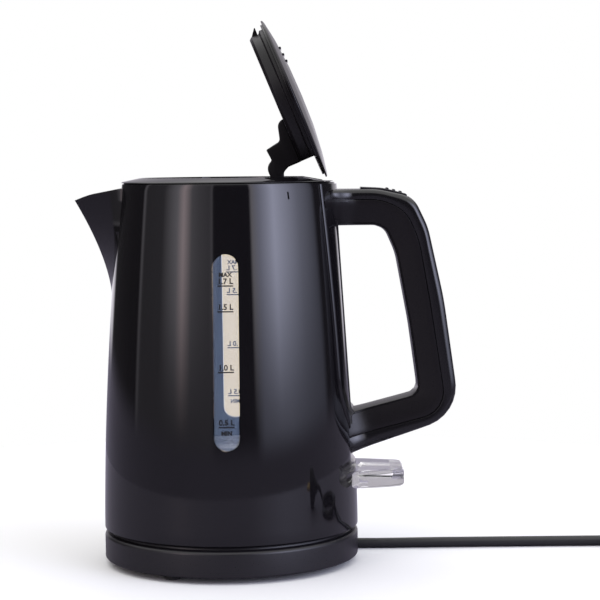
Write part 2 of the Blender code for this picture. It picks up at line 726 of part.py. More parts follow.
def make_connector(base, plug):
    top = SOCKET_TOP_Z
    ring = [
        (SOCKET_R - 0.8, top), (SOCKET_R, top - 0.8), (SOCKET_R, 19.1), (20.5, 19.1), (20.5, 17.2),
        (13.6, 17.2), (9.0, 12.0), (3.7, 12.0), (3.7, top), (8.6, top), (9.3, top - 0.7), (9.3, 17.9),
        (13.2, 17.9), (13.2, top - 0.7), (13.9, top),
    ]
    place(turned("connector_socket", ring, 24), base, "satin_black")
    place(turned("live_contact", [(12.95, 25), (12.95, 18.3), (12.65, 18.3), (12.65, 25)], 20),
          base, "brass")
    place(turned("neutral_contact", [(9.85, 25), (9.85, 18.3), (9.55, 18.3), (9.55, 25)], 20),
          base, "brass")
    place(turned("earth_contact", [(3.4, 24), (3.4, 12.4), (2.9, 12.4), (2.9, 24)], 12), base, "brass")
    body = [
        (0, 37.4), (17.2, 37.4), (17.2, 33.0), (12.3, 33.0), (12.3, 20.5), (10.2, 20.5), (10.2, 33.0),
        (2.6, 33.0), (2.6, 36.0), (0, 36.0),
    ]
    place(turned("jug_connector", body, 24), plug, "satin_black")
    place(rod("earth_pin", (0, 0, 18.0), (0, 0, 35.7), 2.2), plug, "brass")


# Power base


def make_base(base):
    shell = [
        (17.1, BASE_TOP_Z), (72.8, BASE_TOP_Z), (73.6, 21.2), (74.0, 19.8), (76.6, BASE_EDGE_Z),
        (77.5, 18.8), (BASE_R, 17.6), (BASE_R, 5.0), (77.2, BASE_LOW_Z), (75.6, BASE_LOW_Z),
        (75.6, 17.4), (71.9, 19.4), (17.1, 19.4),
    ]
    housing = place(turned("base_housing", shell, JUG_ROUND), base, "satin_black")
    notch = fillet([(22.0, 0), (34.0, 0), (34.0, 11.4, 5.5), (22.0, 11.4, 5.5)], 20)
    tool = side_slab("cord_notch", [notch], 12)
    tool.data.transform(Matrix.Rotation(math.pi / 2, 4, "Z"))
    tool.location = Vector((76, 0, 0)) * MM
    cut(housing, base, tool)
    cover = [
        (0, 10.7), (75.3, 10.7), (75.3, BASE_COVER_Z), (HUB_R, BASE_COVER_Z), (HUB_R, 1.2),
        (HUB_R - 2.2, 1.2), (HUB_R - 2.2, BASE_COVER_Z), (0, BASE_COVER_Z),
    ]
    bottom = place(turned("base_bottom_cover", cover), base, "satin_black")
    for i, (x, y) in enumerate(ring_places(30.0, 180)):
        join(housing, base, rod(f"post_{i}", (x, y, 11.0), (x, y, 20.0), 3.6))
        cut(housing, base, rod(f"post_hole_{i}", (x, y, 10.0), (x, y, 18.5), 1.6, sides=10))
        cut(bottom, base, rod(f"base_hole_{i}", (x, y, 7.0), (x, y, 12.0), 1.8, sides=12))
        head_z = BASE_COVER_Z - GAP - SCREW_HEAD
        place(upright_screw(f"base_screw_{i + 1}", x, y, head_z, 17.5), base, "steel")
    for i, (x, y) in enumerate(ring_places(FOOT_RING_R, 0)):
        join(bottom, base, rod(f"foot_boss_{i}", (x, y, 3.0), (x, y, 9.0), 6.4))
        place(rod(f"rubber_foot_{i + 1}", (x, y, 0), (x, y, 2.7), 4.4, 4.9), base, "rubber")
    return bottom


# Mains lead


def smooth(points, step):
    """A Catmull-Rom curve through the points, sampled about every step."""
    nodes = [Vector(p) for p in points]
    nodes = [2 * nodes[0] - nodes[1], *nodes, 2 * nodes[-1] - nodes[-2]]
    out = []
    for a, b, c, d in zip(nodes, nodes[1:], nodes[2:], nodes[3:]):
        count = max(1, round((c - b).length / step))
        for i in range(count):
            t = i / count
            out.append(
                0.5 * (2 * b + (c - a) * t + (2 * a - 5 * b + 4 * c - d) * t**2
                       + (3 * b - a - 3 * c + d) * t**3)
            )
    out.append(nodes[-2])
    return out


def make_lead(base, bottom):
    start, end = RELIEF_X
    relief = rod("cord_strain_relief", (start, CORD_Y, RELIEF_Z), (end, CORD_Y, RELIEF_Z), 4.2, 3.5)
    place(relief, base, "rubber")
    seat = rod("relief_seat", (start - 12, CORD_Y, RELIEF_Z), (end, CORD_Y, RELIEF_Z), 4.55)
    cut(bottom, base, seat)

    meet = COIL_CENTRE[0] - 28.6
    route = [
        (end + GAP, CORD_Y, 4.4), (60, CORD_Y, 3.9), (75, CORD_Y, CORD_Z), (130, CORD_Y, CORD_Z),
        (180, CORD_Y, CORD_Z), (meet, CORD_Y, CORD_Z),
    ]
    place(wire("power_cord", smooth(route, 15.0), CORD_R), base, "cord_black")
    low, high = COIL_R - COIL_HALF, COIL_R + COIL_HALF
    bundle = fillet([(high, 12.9, 3), (high, 0.2, 3), (low, 0.2, 3), (low, 12.9, 3)], 45)
    place(turned("cord_coil", bundle, 28, COIL_CENTRE), base, "cord_black")
    middle = COIL_CENTRE[0] - COIL_R
    clip_low, clip_high = COIL_HALF + GAP + 0.1, COIL_HALF + 1.3
    clip = [
        (middle - clip_high, 0.4), (middle - clip_high, 14.4), (middle + clip_high, 14.4),
        (middle + clip_high, 0.4), (middle + clip_low, 0.4), (middle + clip_low, 13.3),
        (middle - clip_low, 13.3), (middle - clip_low, 0.4),
    ]
    place(side_slab("cord_tie", [clip], 3.0, y=COIL_CENTRE[1]), base, "rubber")

    lead = [
        (PLUG_X, COIL_CENTRE[1] - 27.4, 3.7), (PLUG_X, -40, 5.4), (PLUG_X, -50, 10.5),
        (PLUG_X, -60, 15.8), (PLUG_X, -68, 18.0), (PLUG_X, PLUG_NECK_Y + GAP, PLUG_R),
    ]
    place(wire("plug_lead", smooth(lead, 8.0), CORD_R), base, "cord_black")


def make_plug(base):
    """A round two-pin mains plug with side earth slots, drawn about its neck with its pins down."""
    frame = joint_frame("plug_neck", (PLUG_X, PLUG_NECK_Y, PLUG_R), base)
    frame.rotation_euler = (-math.pi / 2, 0, 0)
    frames[frame.name] = (0, 0, 0)  # what hangs from it is drawn about the neck
    profile = [
        (0, 0.0), (4.6, 0.0), (5.5, -1.0), (6.4, -8.0), (11.5, -17.0), (16.6, -23.0), (PLUG_R, -27.0),
        (PLUG_R, -41.2), (17.7, -42.0), (0, -42.0),
    ]
    body = place(turned("mains_plug_body", profile, 24), frame, "cord_black")
    for side, name in ((-1, "left"), (1, "right")):
        slot_x = side * 19.0
        cut(body, frame, block(f"earth_slot_{name}", (slot_x - 1.6, -3.4, -45), (slot_x + 1.6, 3.4, -30)))
        pin_x = side * 9.5
        pin = rod(f"plug_pin_{name}", (pin_x, 0, -42.3), (pin_x, 0, -61.0), 2.4, sides=12)
        place(pin, frame, "brass")


def main():
    clear_scene()
    make_materials()
    base = joint_frame("kettle_axis", (0, 0, 0))
    plug = joint_frame("jug_lift", (0, 0, 0), base)
    jug = joint_frame("jug_swivel", (0, 0, 0), plug)
    lid = joint_frame("lid_hinge", (LID_PIVOT[0], 0, LID_PIVOT[1]), jug, LID_OPEN)
    latch = joint_frame("latch_slide", (-44, 0, 227), lid)
    button = joint_frame("button_pivot", (BUTTON_PIVOT[0], 0, BUTTON_PIVOT[1]), jug)
    slider = joint_frame("release_slide", (70, 0, 215.5), jug)
    switch = joint_frame("switch_pivot", (SWITCH_PIVOT[0], 0, SWITCH_PIVOT[1]), jug)

    bottom = make_base(base)
    make_lead(base, bottom)
    make_plug(base)
    make_connector(base, plug)
    make_jug_shell(jug)
    make_spout(jug)
    make_windows(jug)
    make_collar(jug)
    make_heater(jug)
    make_filter(jug)
    make_jug_bottom(jug)
    make_handle(jug)
    make_button(button, slider)
    make_switch(jug, switch)
    make_lid(jug, lid, latch)
    bpy.context.view_layer.update()


main()
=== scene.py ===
"""The electric kettle's looks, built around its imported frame.

Lengths are in millimetres, and MM turns them into metres. Shapes are drawn about the jug's own
vertical axis, X to the rear where the handle is, and world() moves them to the frame's place. The
lid's pieces are drawn closed and turned open about its hinge.
"""

import json
import math

import bmesh
import bpy
from mathutils import Matrix, Vector

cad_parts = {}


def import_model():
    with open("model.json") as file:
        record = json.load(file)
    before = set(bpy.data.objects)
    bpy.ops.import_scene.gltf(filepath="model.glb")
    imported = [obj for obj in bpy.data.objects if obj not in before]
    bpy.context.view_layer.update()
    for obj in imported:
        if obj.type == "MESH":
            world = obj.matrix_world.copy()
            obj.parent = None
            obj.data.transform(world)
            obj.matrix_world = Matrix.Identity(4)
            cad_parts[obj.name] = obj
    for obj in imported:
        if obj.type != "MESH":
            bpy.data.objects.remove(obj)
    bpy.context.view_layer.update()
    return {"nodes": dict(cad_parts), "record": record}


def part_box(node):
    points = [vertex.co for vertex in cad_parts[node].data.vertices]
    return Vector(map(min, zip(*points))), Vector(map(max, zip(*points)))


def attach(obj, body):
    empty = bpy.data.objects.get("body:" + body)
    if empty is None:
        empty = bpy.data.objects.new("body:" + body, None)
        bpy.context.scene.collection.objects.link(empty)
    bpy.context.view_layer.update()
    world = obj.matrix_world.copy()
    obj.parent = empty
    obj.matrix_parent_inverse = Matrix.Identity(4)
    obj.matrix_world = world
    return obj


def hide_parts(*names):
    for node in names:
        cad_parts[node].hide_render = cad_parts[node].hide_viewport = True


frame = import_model()

MM = 0.001
JOINTS = {joint["name"]: joint for joint in frame["record"]["behaviour"]["joints"]}
AXIS_X = JOINTS["jug_swivel"]["pos_m"][0]
LID_AXIS = Vector(JOINTS["lid_hinge"]["pos_m"])
LID_OPEN = -JOINTS["lid_hinge"]["range_deg"][0]


def corners(node):
    """A node's lowest and highest corners in millimetres, about the jug's axis."""
    return [(point - Vector((AXIS_X, 0, 0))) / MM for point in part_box(node)]


# Driving sizes, from the frame where it has them
(_, _, JUG_FOOT_Z), (_, JUG_R, _) = corners("jug_shell")
(_, _, BASE_LOW_Z), (_, BASE_R, _) = corners("base_housing")
JUG_TOP_Z = 232.0
JUG_TAPER = 12.2
TAPER_HEIGHT = 208.0
WALL = 2.4
(WINDOW_LEFT, _, WINDOW_LOW_Z), (WINDOW_RIGHT, _, WINDOW_HIGH_Z) = corners("gauge_window_near")
WINDOW_SHIFT = -0.5
WINDOW_X = (WINDOW_LEFT + WINDOW_RIGHT) / 2 + WINDOW_SHIFT
WINDOW_HALF = (WINDOW_RIGHT - WINDOW_LEFT) / 2
PANE_DEPTH = 0.25
MARK_DEPTH = 0.14
FLAT_LOW_Z, FLAT_HIGH_Z, FLAT_SLOPE = 64.0, 212.0, 0.062
HANDLE_HALF_W = 14.0
SPINE_LOW_Z, SPINE_HIGH_Z, SPINE_HALF_W = 86.0, 209.0, 16.0
PADDLE_LOW_Z, PADDLE_HIGH_Z, PADDLE_PIN_X = 47.3, 57.7, 70.0
SLOT_HALF_W, SLOT_LOW_Z, SLOT_HIGH_Z = 9.5, 44.4, 59.2
PAD_HALF, PAD_FOOT, PAD_ROUND_Z, PAD_TOP_Z = 37.0, 38.0, 115.0, 231.0
PAD_LIFT, PAD_EDGE = 1.2, 2.2
SPOUT_LOW_Z, SPOUT_RISE, SPOUT_REACH, SPOUT_HALF_W = 162.0, 67.0, 27.6, 22.0
LIP_SLOPE = 0.37
CORD_R = 3.2
CORD_Z = 3.3
CORD_Y = 28.0
COIL_R = 35.0
COIL_CENTRE = (286.0, CORD_Y - COIL_R)
LEVEL_MARKS = [(173.4, "1.7 L"), (158.6, "1.5 L"), (123.7, "1.0 L"), (92.0, "0.5 L")]

materials = {}


def add_object(name, data):
    obj = bpy.data.objects.new(name, data)
    bpy.context.scene.collection.objects.link(obj)
    return obj


# Camera, floor and studio


def make_camera():
    """A long lens 1.2 m away, a little above the jug and a little rolled."""
    data = bpy.data.cameras.new("camera")
    data.lens = 116.2
    data.sensor_width = 36.0
    data.clip_end = 20.0
    camera = add_object("camera", data)
    camera.location = (AXIS_X + 0.0436, -1.184, 0.2456)
    pitch, roll = 0.07234, -0.0103
    turn = Matrix.Rotation(math.pi / 2 - pitch, 4, "X") @ Matrix.Rotation(roll, 4, "Z")
    camera.rotation_euler = turn.to_euler()
    bpy.context.scene.camera = camera
    bpy.context.scene.view_settings.view_transform = "Standard"


def ramp(tree, factor, stops):
    """A colour ramp over (place, colour) stops."""
    node = tree.nodes.new("ShaderNodeValToRGB")
    while len(node.color_ramp.elements) > 1:
        node.color_ramp.elements.remove(node.color_ramp.elements[-1])
    for i, (place, colour) in enumerate(stops):
        stop = node.color_ramp.elements[0] if i == 0 else node.color_ramp.elements.new(place)
        stop.position = place
        stop.color = (*colour, 1.0)
    tree.links.new(factor, node.inputs["Fac"])
    return node.outputs["Color"]


def math_node(tree, operation, *values):
    node = tree.nodes.new("ShaderNodeMath")
    node.operation = operation
    for socket, value in zip(node.inputs, values):
        if isinstance(value, (int, float)):
            socket.default_value = value
        else:
            tree.links.new(value, socket)
    return node.outputs["Value"]


def map_range(tree, value, low, high):
    """0 at low and 1 at high, with soft ends."""
    node = tree.nodes.new("ShaderNodeMapRange")
    node.interpolation_type = "SMOOTHSTEP"
    node.inputs["From Min"].default_value = low
    node.inputs["From Max"].default_value = high
    tree.links.new(value, node.inputs["Value"])
    return node.outputs["Result"]


def mix_colour(tree, factor, first, second):
    node = tree.nodes.new("ShaderNodeMix")
    node.data_type = "RGBA"
    for name, value in (("Factor_Float", factor), ("A_Color", first), ("B_Color", second)):
        socket = next(s for s in node.inputs if s.identifier == name)
        if isinstance(value, tuple):
            socket.default_value = (*value, 1.0)
        elif isinstance(value, (int, float)):
            socket.default_value = value
        else:
            tree.links.new(value, socket)
    return next(s for s in node.outputs if s.identifier == "Result_Color")


def grey(level):
    return (level, level, level)


def lit(level, colour):
    return [level * c for c in colour]


def tinted(colour, scale):
    """A studio colour, a little to the violet, as a share of the ramp's scale."""
    return [c * tint / scale for c, tint in zip(colour, (1.0, 0.955, 1.05))]


def make_studio():
    """A soft studio: two tall softboxes at the front, dark between and beside them, dim behind and
    brighter low down there, with an even light above. The camera sees plain white past the floor."""
    world = bpy.data.worlds.new("studio")
    bpy.context.scene.world = world
    world.use_nodes = True
    tree = world.node_tree
    tree.nodes.clear()
    coords = tree.nodes.new("ShaderNodeTexCoord")
    split = tree.nodes.new("ShaderNodeSeparateXYZ")
    tree.links.new(coords.outputs["Generated"], split.inputs["Vector"])
    x, y, z = (split.outputs[axis] for axis in "XYZ")
    front = math_node(tree, "MULTIPLY", y, -1.0)
    azimuth = math_node(tree, "ARCTAN2", x, front)
    turn = math_node(tree, "MULTIPLY_ADD", azimuth, 0.5 / math.pi, 0.5)

    def at(degrees):
        return 0.5 + degrees / 360.0

    scale = 8.0  # a ramp's colours stop at 1
    warm, blue = (1.0, 0.86, 0.82), (0.86, 0.93, 1.1)
    # degrees from the front and colour, for the directions above the floor and those just above it
    boxes = [
        (-180, grey(0.45)), (-152, grey(0.45)), (-146, grey(0.06)), (-97, grey(0.06)), (-94, grey(1.0)),
        (-91, grey(0.25)), (-68, grey(0.35)), (-58, grey(1.2)), (-51, grey(1.8)), (-44, lit(4.2, warm)),
        (-35, grey(1.1)), (-28, grey(0.8)), (-16, grey(0.55)), (-14.5, grey(1.1)), (-12.5, grey(0.06)),
        (24, grey(0.04)), (26.5, grey(2.0)), (34, lit(2.9, blue)), (43, lit(4.8, blue)),
        (50, lit(6.6, blue)), (64, lit(4.6, blue)), (80, lit(2.4, blue)), (100, lit(0.8, blue)),
        (106, grey(0.05)), (140, grey(0.05)), (148, grey(0.45)), (180, grey(0.45)),
    ]
    low = [
        (-180, grey(1.4)), (-152, grey(1.3)), (-146, grey(0.05)), (-97, grey(0.05)), (-94, grey(0.5)),
        (-91, grey(0.22)), (-16, grey(0.3)), (-11, grey(0.05)), (26, grey(0.04)), (34, lit(0.9, blue)),
        (60, lit(1.1, blue)), (100, lit(0.5, blue)), (106, grey(0.05)), (140, grey(0.05)),
        (148, grey(1.3)), (180, grey(1.4)),
    ]
    high_colour = ramp(tree, turn, [(at(a), tinted(colour, scale)) for a, colour in boxes])
    low_colour = ramp(tree, turn, [(at(a), tinted(colour, scale)) for a, colour in low])
    rise = map_range(tree, z, -0.08, 0.13)
    colour = mix_colour(tree, rise, low_colour, high_colour)
    ceiling = map_range(tree, z, 0.35, 0.75)
    colour = mix_colour(tree, ceiling, colour, grey(1.5 / scale))
    floor_side = map_range(tree, z, -0.05, -0.09)
    colour = mix_colour(tree, floor_side, colour, (0.27 / scale, 0.25 / scale, 0.33 / scale))

    studio = tree.nodes.new("ShaderNodeBackground")
    studio.inputs["Strength"].default_value = scale
    tree.links.new(colour, studio.inputs["Color"])
    backdrop = tree.nodes.new("ShaderNodeBackground")
    backdrop.inputs["Color"].default_value = (1, 1, 1, 1)
    rays = tree.nodes.new("ShaderNodeLightPath")
    mix = tree.nodes.new("ShaderNodeMixShader")
    tree.links.new(rays.outputs["Is Camera Ray"], mix.inputs["Fac"])
    tree.links.new(studio.outputs["Background"], mix.inputs[1])
    tree.links.new(backdrop.outputs["Background"], mix.inputs[2])
    out = tree.nodes.new("ShaderNodeOutputWorld")
    tree.links.new(mix.outputs["Shader"], out.inputs["Surface"])


def make_floor():
    shape = bmesh.new()
    bmesh.ops.create_circle(shape, cap_ends=True, segments=96, radius=0.5)
    mesh = bpy.data.meshes.new("floor")
    shape.to_mesh(mesh)
    shape.free()
    floor = add_object("floor", mesh)
    floor.location = (0, 0.03, 0)
    # Painted reflection: glossy rays see the floor as a dark violet-grey rather than its pale paper, which
    # paints a darker reflection of the floor into the jug's lower body.
    paper, painted_dark_reflection = grey(0.93), (0.25, 0.23, 0.30)
    mat, tree, shader = principled("floor", paper, 0.6)
    rays = tree.nodes.new("ShaderNodeLightPath")
    tone = mix_colour(tree, rays.outputs["Is Glossy Ray"], paper, painted_dark_reflection)
    tree.links.new(tone, shader.inputs["Base Color"])
    mesh.materials.append(mat)


# Materials


def principled(name, colour, roughness, **values):
    mat = bpy.data.materials.new(name)
    mat.use_nodes = True
    shader = mat.node_tree.nodes["Principled BSDF"]
    shader.inputs["Base Color"].default_value = (*colour, 1.0)
    shader.inputs["Roughness"].default_value = roughness
    for socket, value in values.items():
        shader.inputs[socket.replace("_", " ")].default_value = value
    materials[name] = mat
    return mat, mat.node_tree, shader


def noise(tree, scale, detail=3.0, stretch=(1, 1, 1)):
    """A noise over the object's own coordinates, scale to the metre."""
    coords = tree.nodes.new("ShaderNodeTexCoord")
    mapping = tree.nodes.new("ShaderNodeMapping")
    mapping.inputs["Scale"].default_value = stretch
    node = tree.nodes.new("ShaderNodeTexNoise")
    node.inputs["Scale"].default_value = scale
    node.inputs["Detail"].default_value = detail
    tree.links.new(coords.outputs["Object"], mapping.inputs["Vector"])
    tree.links.new(mapping.outputs["Vector"], node.inputs["Vector"])
    return node.outputs["Fac"]


def textured(name, colour, roughness, vary=0.15, grain=900.0, bump=0.05, waves=0.0, stretch=(1, 1, 1),
             **values):
    """A material with a little drift in colour and roughness, and a fine grain in its surface."""
    _, tree, shader = principled(name, colour, roughness, **values)
    drift = noise(tree, 35.0)
    darker = tuple(c * (1 - vary) for c in colour)
    lighter = tuple(min(1.0, c * (1 + vary)) for c in colour)
    tree.links.new(mix_colour(tree, drift, darker, lighter), shader.inputs["Base Color"])
    fine = noise(tree, grain, 4.0, stretch)
    rough = math_node(tree, "MULTIPLY_ADD", fine, roughness * 0.5, roughness * 0.75)
    tree.links.new(rough, shader.inputs["Roughness"])
    height = math_node(tree, "MULTIPLY", fine, bump)
    if waves:
        broad = noise(tree, 28.0, 1.0, (1, 1, 0.35))
        height = math_node(tree, "MULTIPLY_ADD", broad, waves, height)
    node = tree.nodes.new("ShaderNodeBump")
    node.inputs["Strength"].default_value = 1.0
    node.inputs["Distance"].default_value = 0.0001
    tree.links.new(height, node.inputs["Height"])
    tree.links.new(node.outputs["Normal"], shader.inputs["Normal"])


def make_window_material(name, haze_share, haze_colour, through_colour):
    """Clear plastic with a faint haze and a tint to what shows through it."""
    mat = bpy.data.materials.new(name)
    mat.use_nodes = True
    tree = mat.node_tree
    tree.nodes.clear()
    haze = tree.nodes.new("ShaderNodeBsdfDiffuse")
    drift = noise(tree, 60.0)
    darker = tuple(c * 0.85 for c in haze_colour)
    tree.links.new(mix_colour(tree, drift, darker, haze_colour), haze.inputs["Color"])
    through = tree.nodes.new("ShaderNodeBsdfTransparent")
    through.inputs["Color"].default_value = (*through_colour, 1)
    gloss = tree.nodes.new("ShaderNodeBsdfGlossy")
    gloss.inputs["Roughness"].default_value = 0.06
    fresnel = tree.nodes.new("ShaderNodeFresnel")
    fresnel.inputs["IOR"].default_value = 1.45
    body = tree.nodes.new("ShaderNodeMixShader")
    body.inputs["Fac"].default_value = haze_share
    tree.links.new(through.outputs["BSDF"], body.inputs[1])
    tree.links.new(haze.outputs["BSDF"], body.inputs[2])
    skin = tree.nodes.new("ShaderNodeMixShader")
    tree.links.new(fresnel.outputs["Fac"], skin.inputs["Fac"])
    tree.links.new(body.outputs["Shader"], skin.inputs[1])
    tree.links.new(gloss.outputs["BSDF"], skin.inputs[2])
    out = tree.nodes.new("ShaderNodeOutputMaterial")
    tree.links.new(skin.outputs["Shader"], out.inputs["Surface"])
    materials[name] = mat


def make_materials():
    textured("gloss_black", (0.0045, 0.0040, 0.0050), 0.05, grain=500.0, bump=0.006, waves=0.35)
    textured("gloss_handle", (0.0050, 0.0045, 0.0055), 0.16, grain=700.0, bump=0.02, waves=0.1)
    textured("satin_black", (0.011, 0.010, 0.012), 0.30, grain=1500.0, bump=0.12, Specular_IOR_Level=0.36)
    textured("frame_black", (0.006, 0.005, 0.006), 0.30, grain=1500.0, bump=0.05, Specular_IOR_Level=0.28)
    textured("lid_black", (0.008, 0.007, 0.008), 0.34, grain=1800.0, bump=0.05, Specular_IOR_Level=0.25)
    textured("lid_gloss", (0.006, 0.005, 0.006), 0.16, grain=700.0, bump=0.01, Specular_IOR_Level=0.35)
    textured("inner_white", (0.62, 0.60, 0.56), 0.4, vary=0.05, bump=0.05)
    textured("steel", (0.60, 0.60, 0.62), 0.27, vary=0.03, grain=900.0, bump=0.03, stretch=(1, 9, 9),
             Metallic=1.0)
    textured("brass", (0.74, 0.53, 0.22), 0.28, vary=0.1, grain=600.0, bump=0.06, Metallic=1.0)
    textured("rubber", (0.022, 0.022, 0.022), 0.7, grain=2200.0, bump=0.3)
    textured("silicone", (0.45, 0.45, 0.45), 0.55, vary=0.06, grain=1200.0, bump=0.1)
    textured("cord_black", (0.012, 0.012, 0.013), 0.42, grain=1600.0, bump=0.12)
    textured("ink", (0.004, 0.004, 0.005), 0.5, grain=2500.0, bump=0.03)
    textured("paddle_clear", (0.96, 0.96, 0.95), 0.06, vary=0.03, grain=400.0, bump=0.05,
             Transmission_Weight=0.97, IOR=1.22)
    make_window_material("clear", 0.12, (0.5, 0.68, 1.0), (0.97, 0.95, 0.93))
    make_window_material("clear_warm", 0.02, (0.5, 0.68, 1.0), (0.98, 0.92, 0.80))


# Shapes


def world(point):
    x, y, z = point
    return Vector((x * MM + AXIS_X, y * MM, z * MM))


def fillet(points, arc=6.0):
    """A closed outline of (x, y) or (x, y, radius) corners, each radius made an arc."""
    out = []
    for i, corner in enumerate(points):
        here = Vector(corner[:2])
        radius = corner[2] if len(corner) > 2 else 0.0
        back = (Vector(points[i - 1][:2]) - here).normalized()
        ahead = (Vector(points[(i + 1) % len(points)][:2]) - here).normalized()
        turn = math.pi - back.angle(ahead)
        if not radius or turn < 0.01:
            out.append(tuple(here))
            continue
        reach = radius * math.tan(turn / 2)
        centre = here + (back + ahead).normalized() * radius / math.cos(turn / 2)
        first = here + back * reach - centre
        steps = max(2, math.ceil(math.degrees(turn) / arc))
        way = 1 if back.cross(ahead) < 0 else -1
        for k in range(steps + 1):
            out.append(tuple(centre + Matrix.Rotation(way * turn * k / steps, 2) @ first))
    return out


def make_object(name, points, faces, sharp):
    """A closed mesh object from points about the jug's axis."""
    mesh = bpy.data.meshes.new(name)
    mesh.from_pydata([world(p) for p in points], [], faces)
    shape = bmesh.new()
    shape.from_mesh(mesh)
    bmesh.ops.remove_doubles(shape, verts=shape.verts, dist=0.000002)
    bmesh.ops.dissolve_degenerate(shape, edges=shape.edges, dist=0.000001)
    bmesh.ops.recalc_face_normals(shape, faces=shape.faces)
    shape.to_mesh(mesh)
    shape.free()
    obj = add_object(name, mesh)
    shade(obj, sharp)
    return obj


def shade(obj, sharp=35.0):
    obj.data.shade_smooth()
    obj.data.set_sharp_from_angle(angle=math.radians(sharp))


def loft(name, rings, closed=False, sharp=35.0):
    """Rings of points joined in order; closed joins the last to the first, or the ends are capped."""
    count = len(rings[0])
    points = [p for ring in rings for p in ring]
    faces = []
    for k in range(len(rings) - (not closed)):
        a, b = k * count, (k + 1) % len(rings) * count
        for i in range(count):
            j = (i + 1) % count
            faces.append((a + i, a + j, b + j, b + i))
    if not closed:
        faces.append(tuple(range(count)))
        faces.append(tuple(range(len(points) - count, len(points))))
    return make_object(name, points, faces, sharp)


def lathe(name, profile, steps=128, arc=12.0):
    """A solid of revolution. The profile is a closed outline of (radius, z[, rounding]) corners."""
    outline = fillet(profile, arc)
    rings = []
    for k in range(steps):
        a = 2 * math.pi * k / steps
        c, s = math.cos(a), math.sin(a)
        rings.append([(r * c, r * s, z) for r, z in outline])
    return loft(name, rings, closed=True)


def evaluated_mesh(obj):
    """A new mesh of what an object's curve or modifiers come to."""
    bpy.context.view_layer.update()
    return bpy.data.meshes.new_from_object(obj.evaluated_get(bpy.context.evaluated_depsgraph_get()))


def slab(name, outline, half, rounding, y=0.0, steps=4, plan=None):
    """An outline in X and Z with thickness along Y and rounded edges; plan=(low, high) lays it flat."""
    curve = bpy.data.curves.new(name, "CURVE")
    curve.dimensions = "2D"
    curve.fill_mode = "BOTH"
    if plan:
        half = (plan[1] - plan[0]) / 2
    curve.extrude = (half - rounding) * MM
    curve.bevel_depth = rounding * MM
    curve.bevel_resolution = steps
    curve.offset = -rounding * MM
    spline = curve.splines.new("POLY")
    spline.points.add(len(outline) - 1)
    for point, (px, py) in zip(spline.points, outline):
        point.co = (px * MM, py * MM, 0, 1)
    spline.use_cyclic_u = True
    obj = add_object(name, curve)
    obj.location = (AXIS_X, y * MM, 0)
    if plan:
        obj.location.z = (plan[0] + plan[1]) / 2 * MM
    else:
        obj.rotation_euler = (math.pi / 2, 0, 0)
    mesh = evaluated_mesh(obj)
    mesh.transform(obj.matrix_world)
    bpy.data.objects.remove(obj)
    shape = bmesh.new()
    shape.from_mesh(mesh)
    bmesh.ops.remove_doubles(shape, verts=shape.verts, dist=0.000005)
    shape.to_mesh(mesh)
    shape.free()
    mesh.name = name
    obj = add_object(name, mesh)
    shade(obj)
    return obj


def block(name, low, high):
    xs, ys, zs = zip(low, high)
    ring = [(xs[0], ys[0]), (xs[1], ys[0]), (xs[1], ys[1]), (xs[0], ys[1])]
    return loft(name, [[(x, y, z) for x, y in ring] for z in zs], sharp=20.0)


def rod(name, start, end, radius, sides=32, rounding=0.0):
    """A round bar with rounded ends."""
    start, end = Vector(start), Vector(end)
    axis = (end - start).normalized()
    side = axis.orthogonal().normalized()
    other = axis.cross(side)
    length = (end - start).length
    profile = [(radius, 0.0)]
    if rounding:
        steps = [math.radians(a) for a in (0, 22.5, 45, 67.5, 90)]
        profile = [(radius - rounding * (1 - math.sin(a)), rounding * (1 - math.cos(a))) for a in steps]
        for a in steps:
            profile.append((radius - rounding * (1 - math.cos(a)), length - rounding * (1 - math.sin(a))))
    else:
        profile.append((radius, length))
    rings = []
    for r, along in profile:
        ring = []
        for k in range(sides):
            a = 2 * math.pi * k / sides
            ring.append(start + axis * along + (side * math.cos(a) + other * math.sin(a)) * r)
        rings.append(ring)
    return loft(name, rings, sharp=40.0)


def carve(obj, operation, *tools):
    """Apply a Boolean with each tool, and remove the tools."""
    for tool in tools:
        mod = obj.modifiers.new("carve", "BOOLEAN")
        mod.operation = operation
        mod.object = tool
        mod.solver = "EXACT"
    apply_modifiers(obj)
    for tool in tools:
        bpy.data.objects.remove(tool)
    shade(obj)


def apply_modifiers(obj):
    mesh = evaluated_mesh(obj)
    obj.modifiers.clear()
    mesh.name = obj.name
    obj.data = mesh


def soften(obj, width):
    """Round the sharp edges."""
    mod = obj.modifiers.new("soften", "BEVEL")
    mod.width = width * MM
    mod.segments = 2
    mod.limit_method = "ANGLE"
    mod.angle_limit = math.radians(50)
    mod.use_clamp_overlap = True
    apply_modifiers(obj)
    shade(obj)


def open_lid(obj):
    """Turn a piece that is drawn closed to the lid's open place."""
    turn = Matrix.Rotation(math.radians(LID_OPEN), 4, "Y")
    obj.data.transform(Matrix.Translation(LID_AXIS) @ turn @ Matrix.Translation(-LID_AXIS))
    return obj


def finish_piece(obj, body, slot, material=None, replaces=()):
    """Give a piece its material, the slot's unless another is named, attach it to its body, and hide the
    nodes that it stands for.
    """
    obj.data.materials.clear()
    obj.data.materials.append(materials[material or slot])
    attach(obj, body)
    if replaces:
        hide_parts(*replaces)
    return obj


# Jug


def jug_radius(z):
    return JUG_R - JUG_TAPER * max(0.0, (z - 22.0) / TAPER_HEIGHT) ** 1.7


def flat_x(z):
    """The rear flat that the handle's spine lies on."""
    return 66.3 + (184.0 - z) * FLAT_SLOPE


def smooth_least(a, b, soft):
    blend = max(soft - abs(a - b), 0.0) / soft
    return min(a, b) - blend * blend * soft / 4


def wall_radius(angle, z, inset=0.0):
    """The jug wall's distance from its axis, in the direction angle from the rear."""
    radius = jug_radius(z) - inset
    if math.cos(angle) < 0.8:
        return radius
    outside = max(FLAT_LOW_Z - z, z - FLAT_HIGH_Z, 0.0)
    flat = (flat_x(z) - inset + outside * 1.5) / math.cos(angle)
    return smooth_least(radius, flat, 1.2)


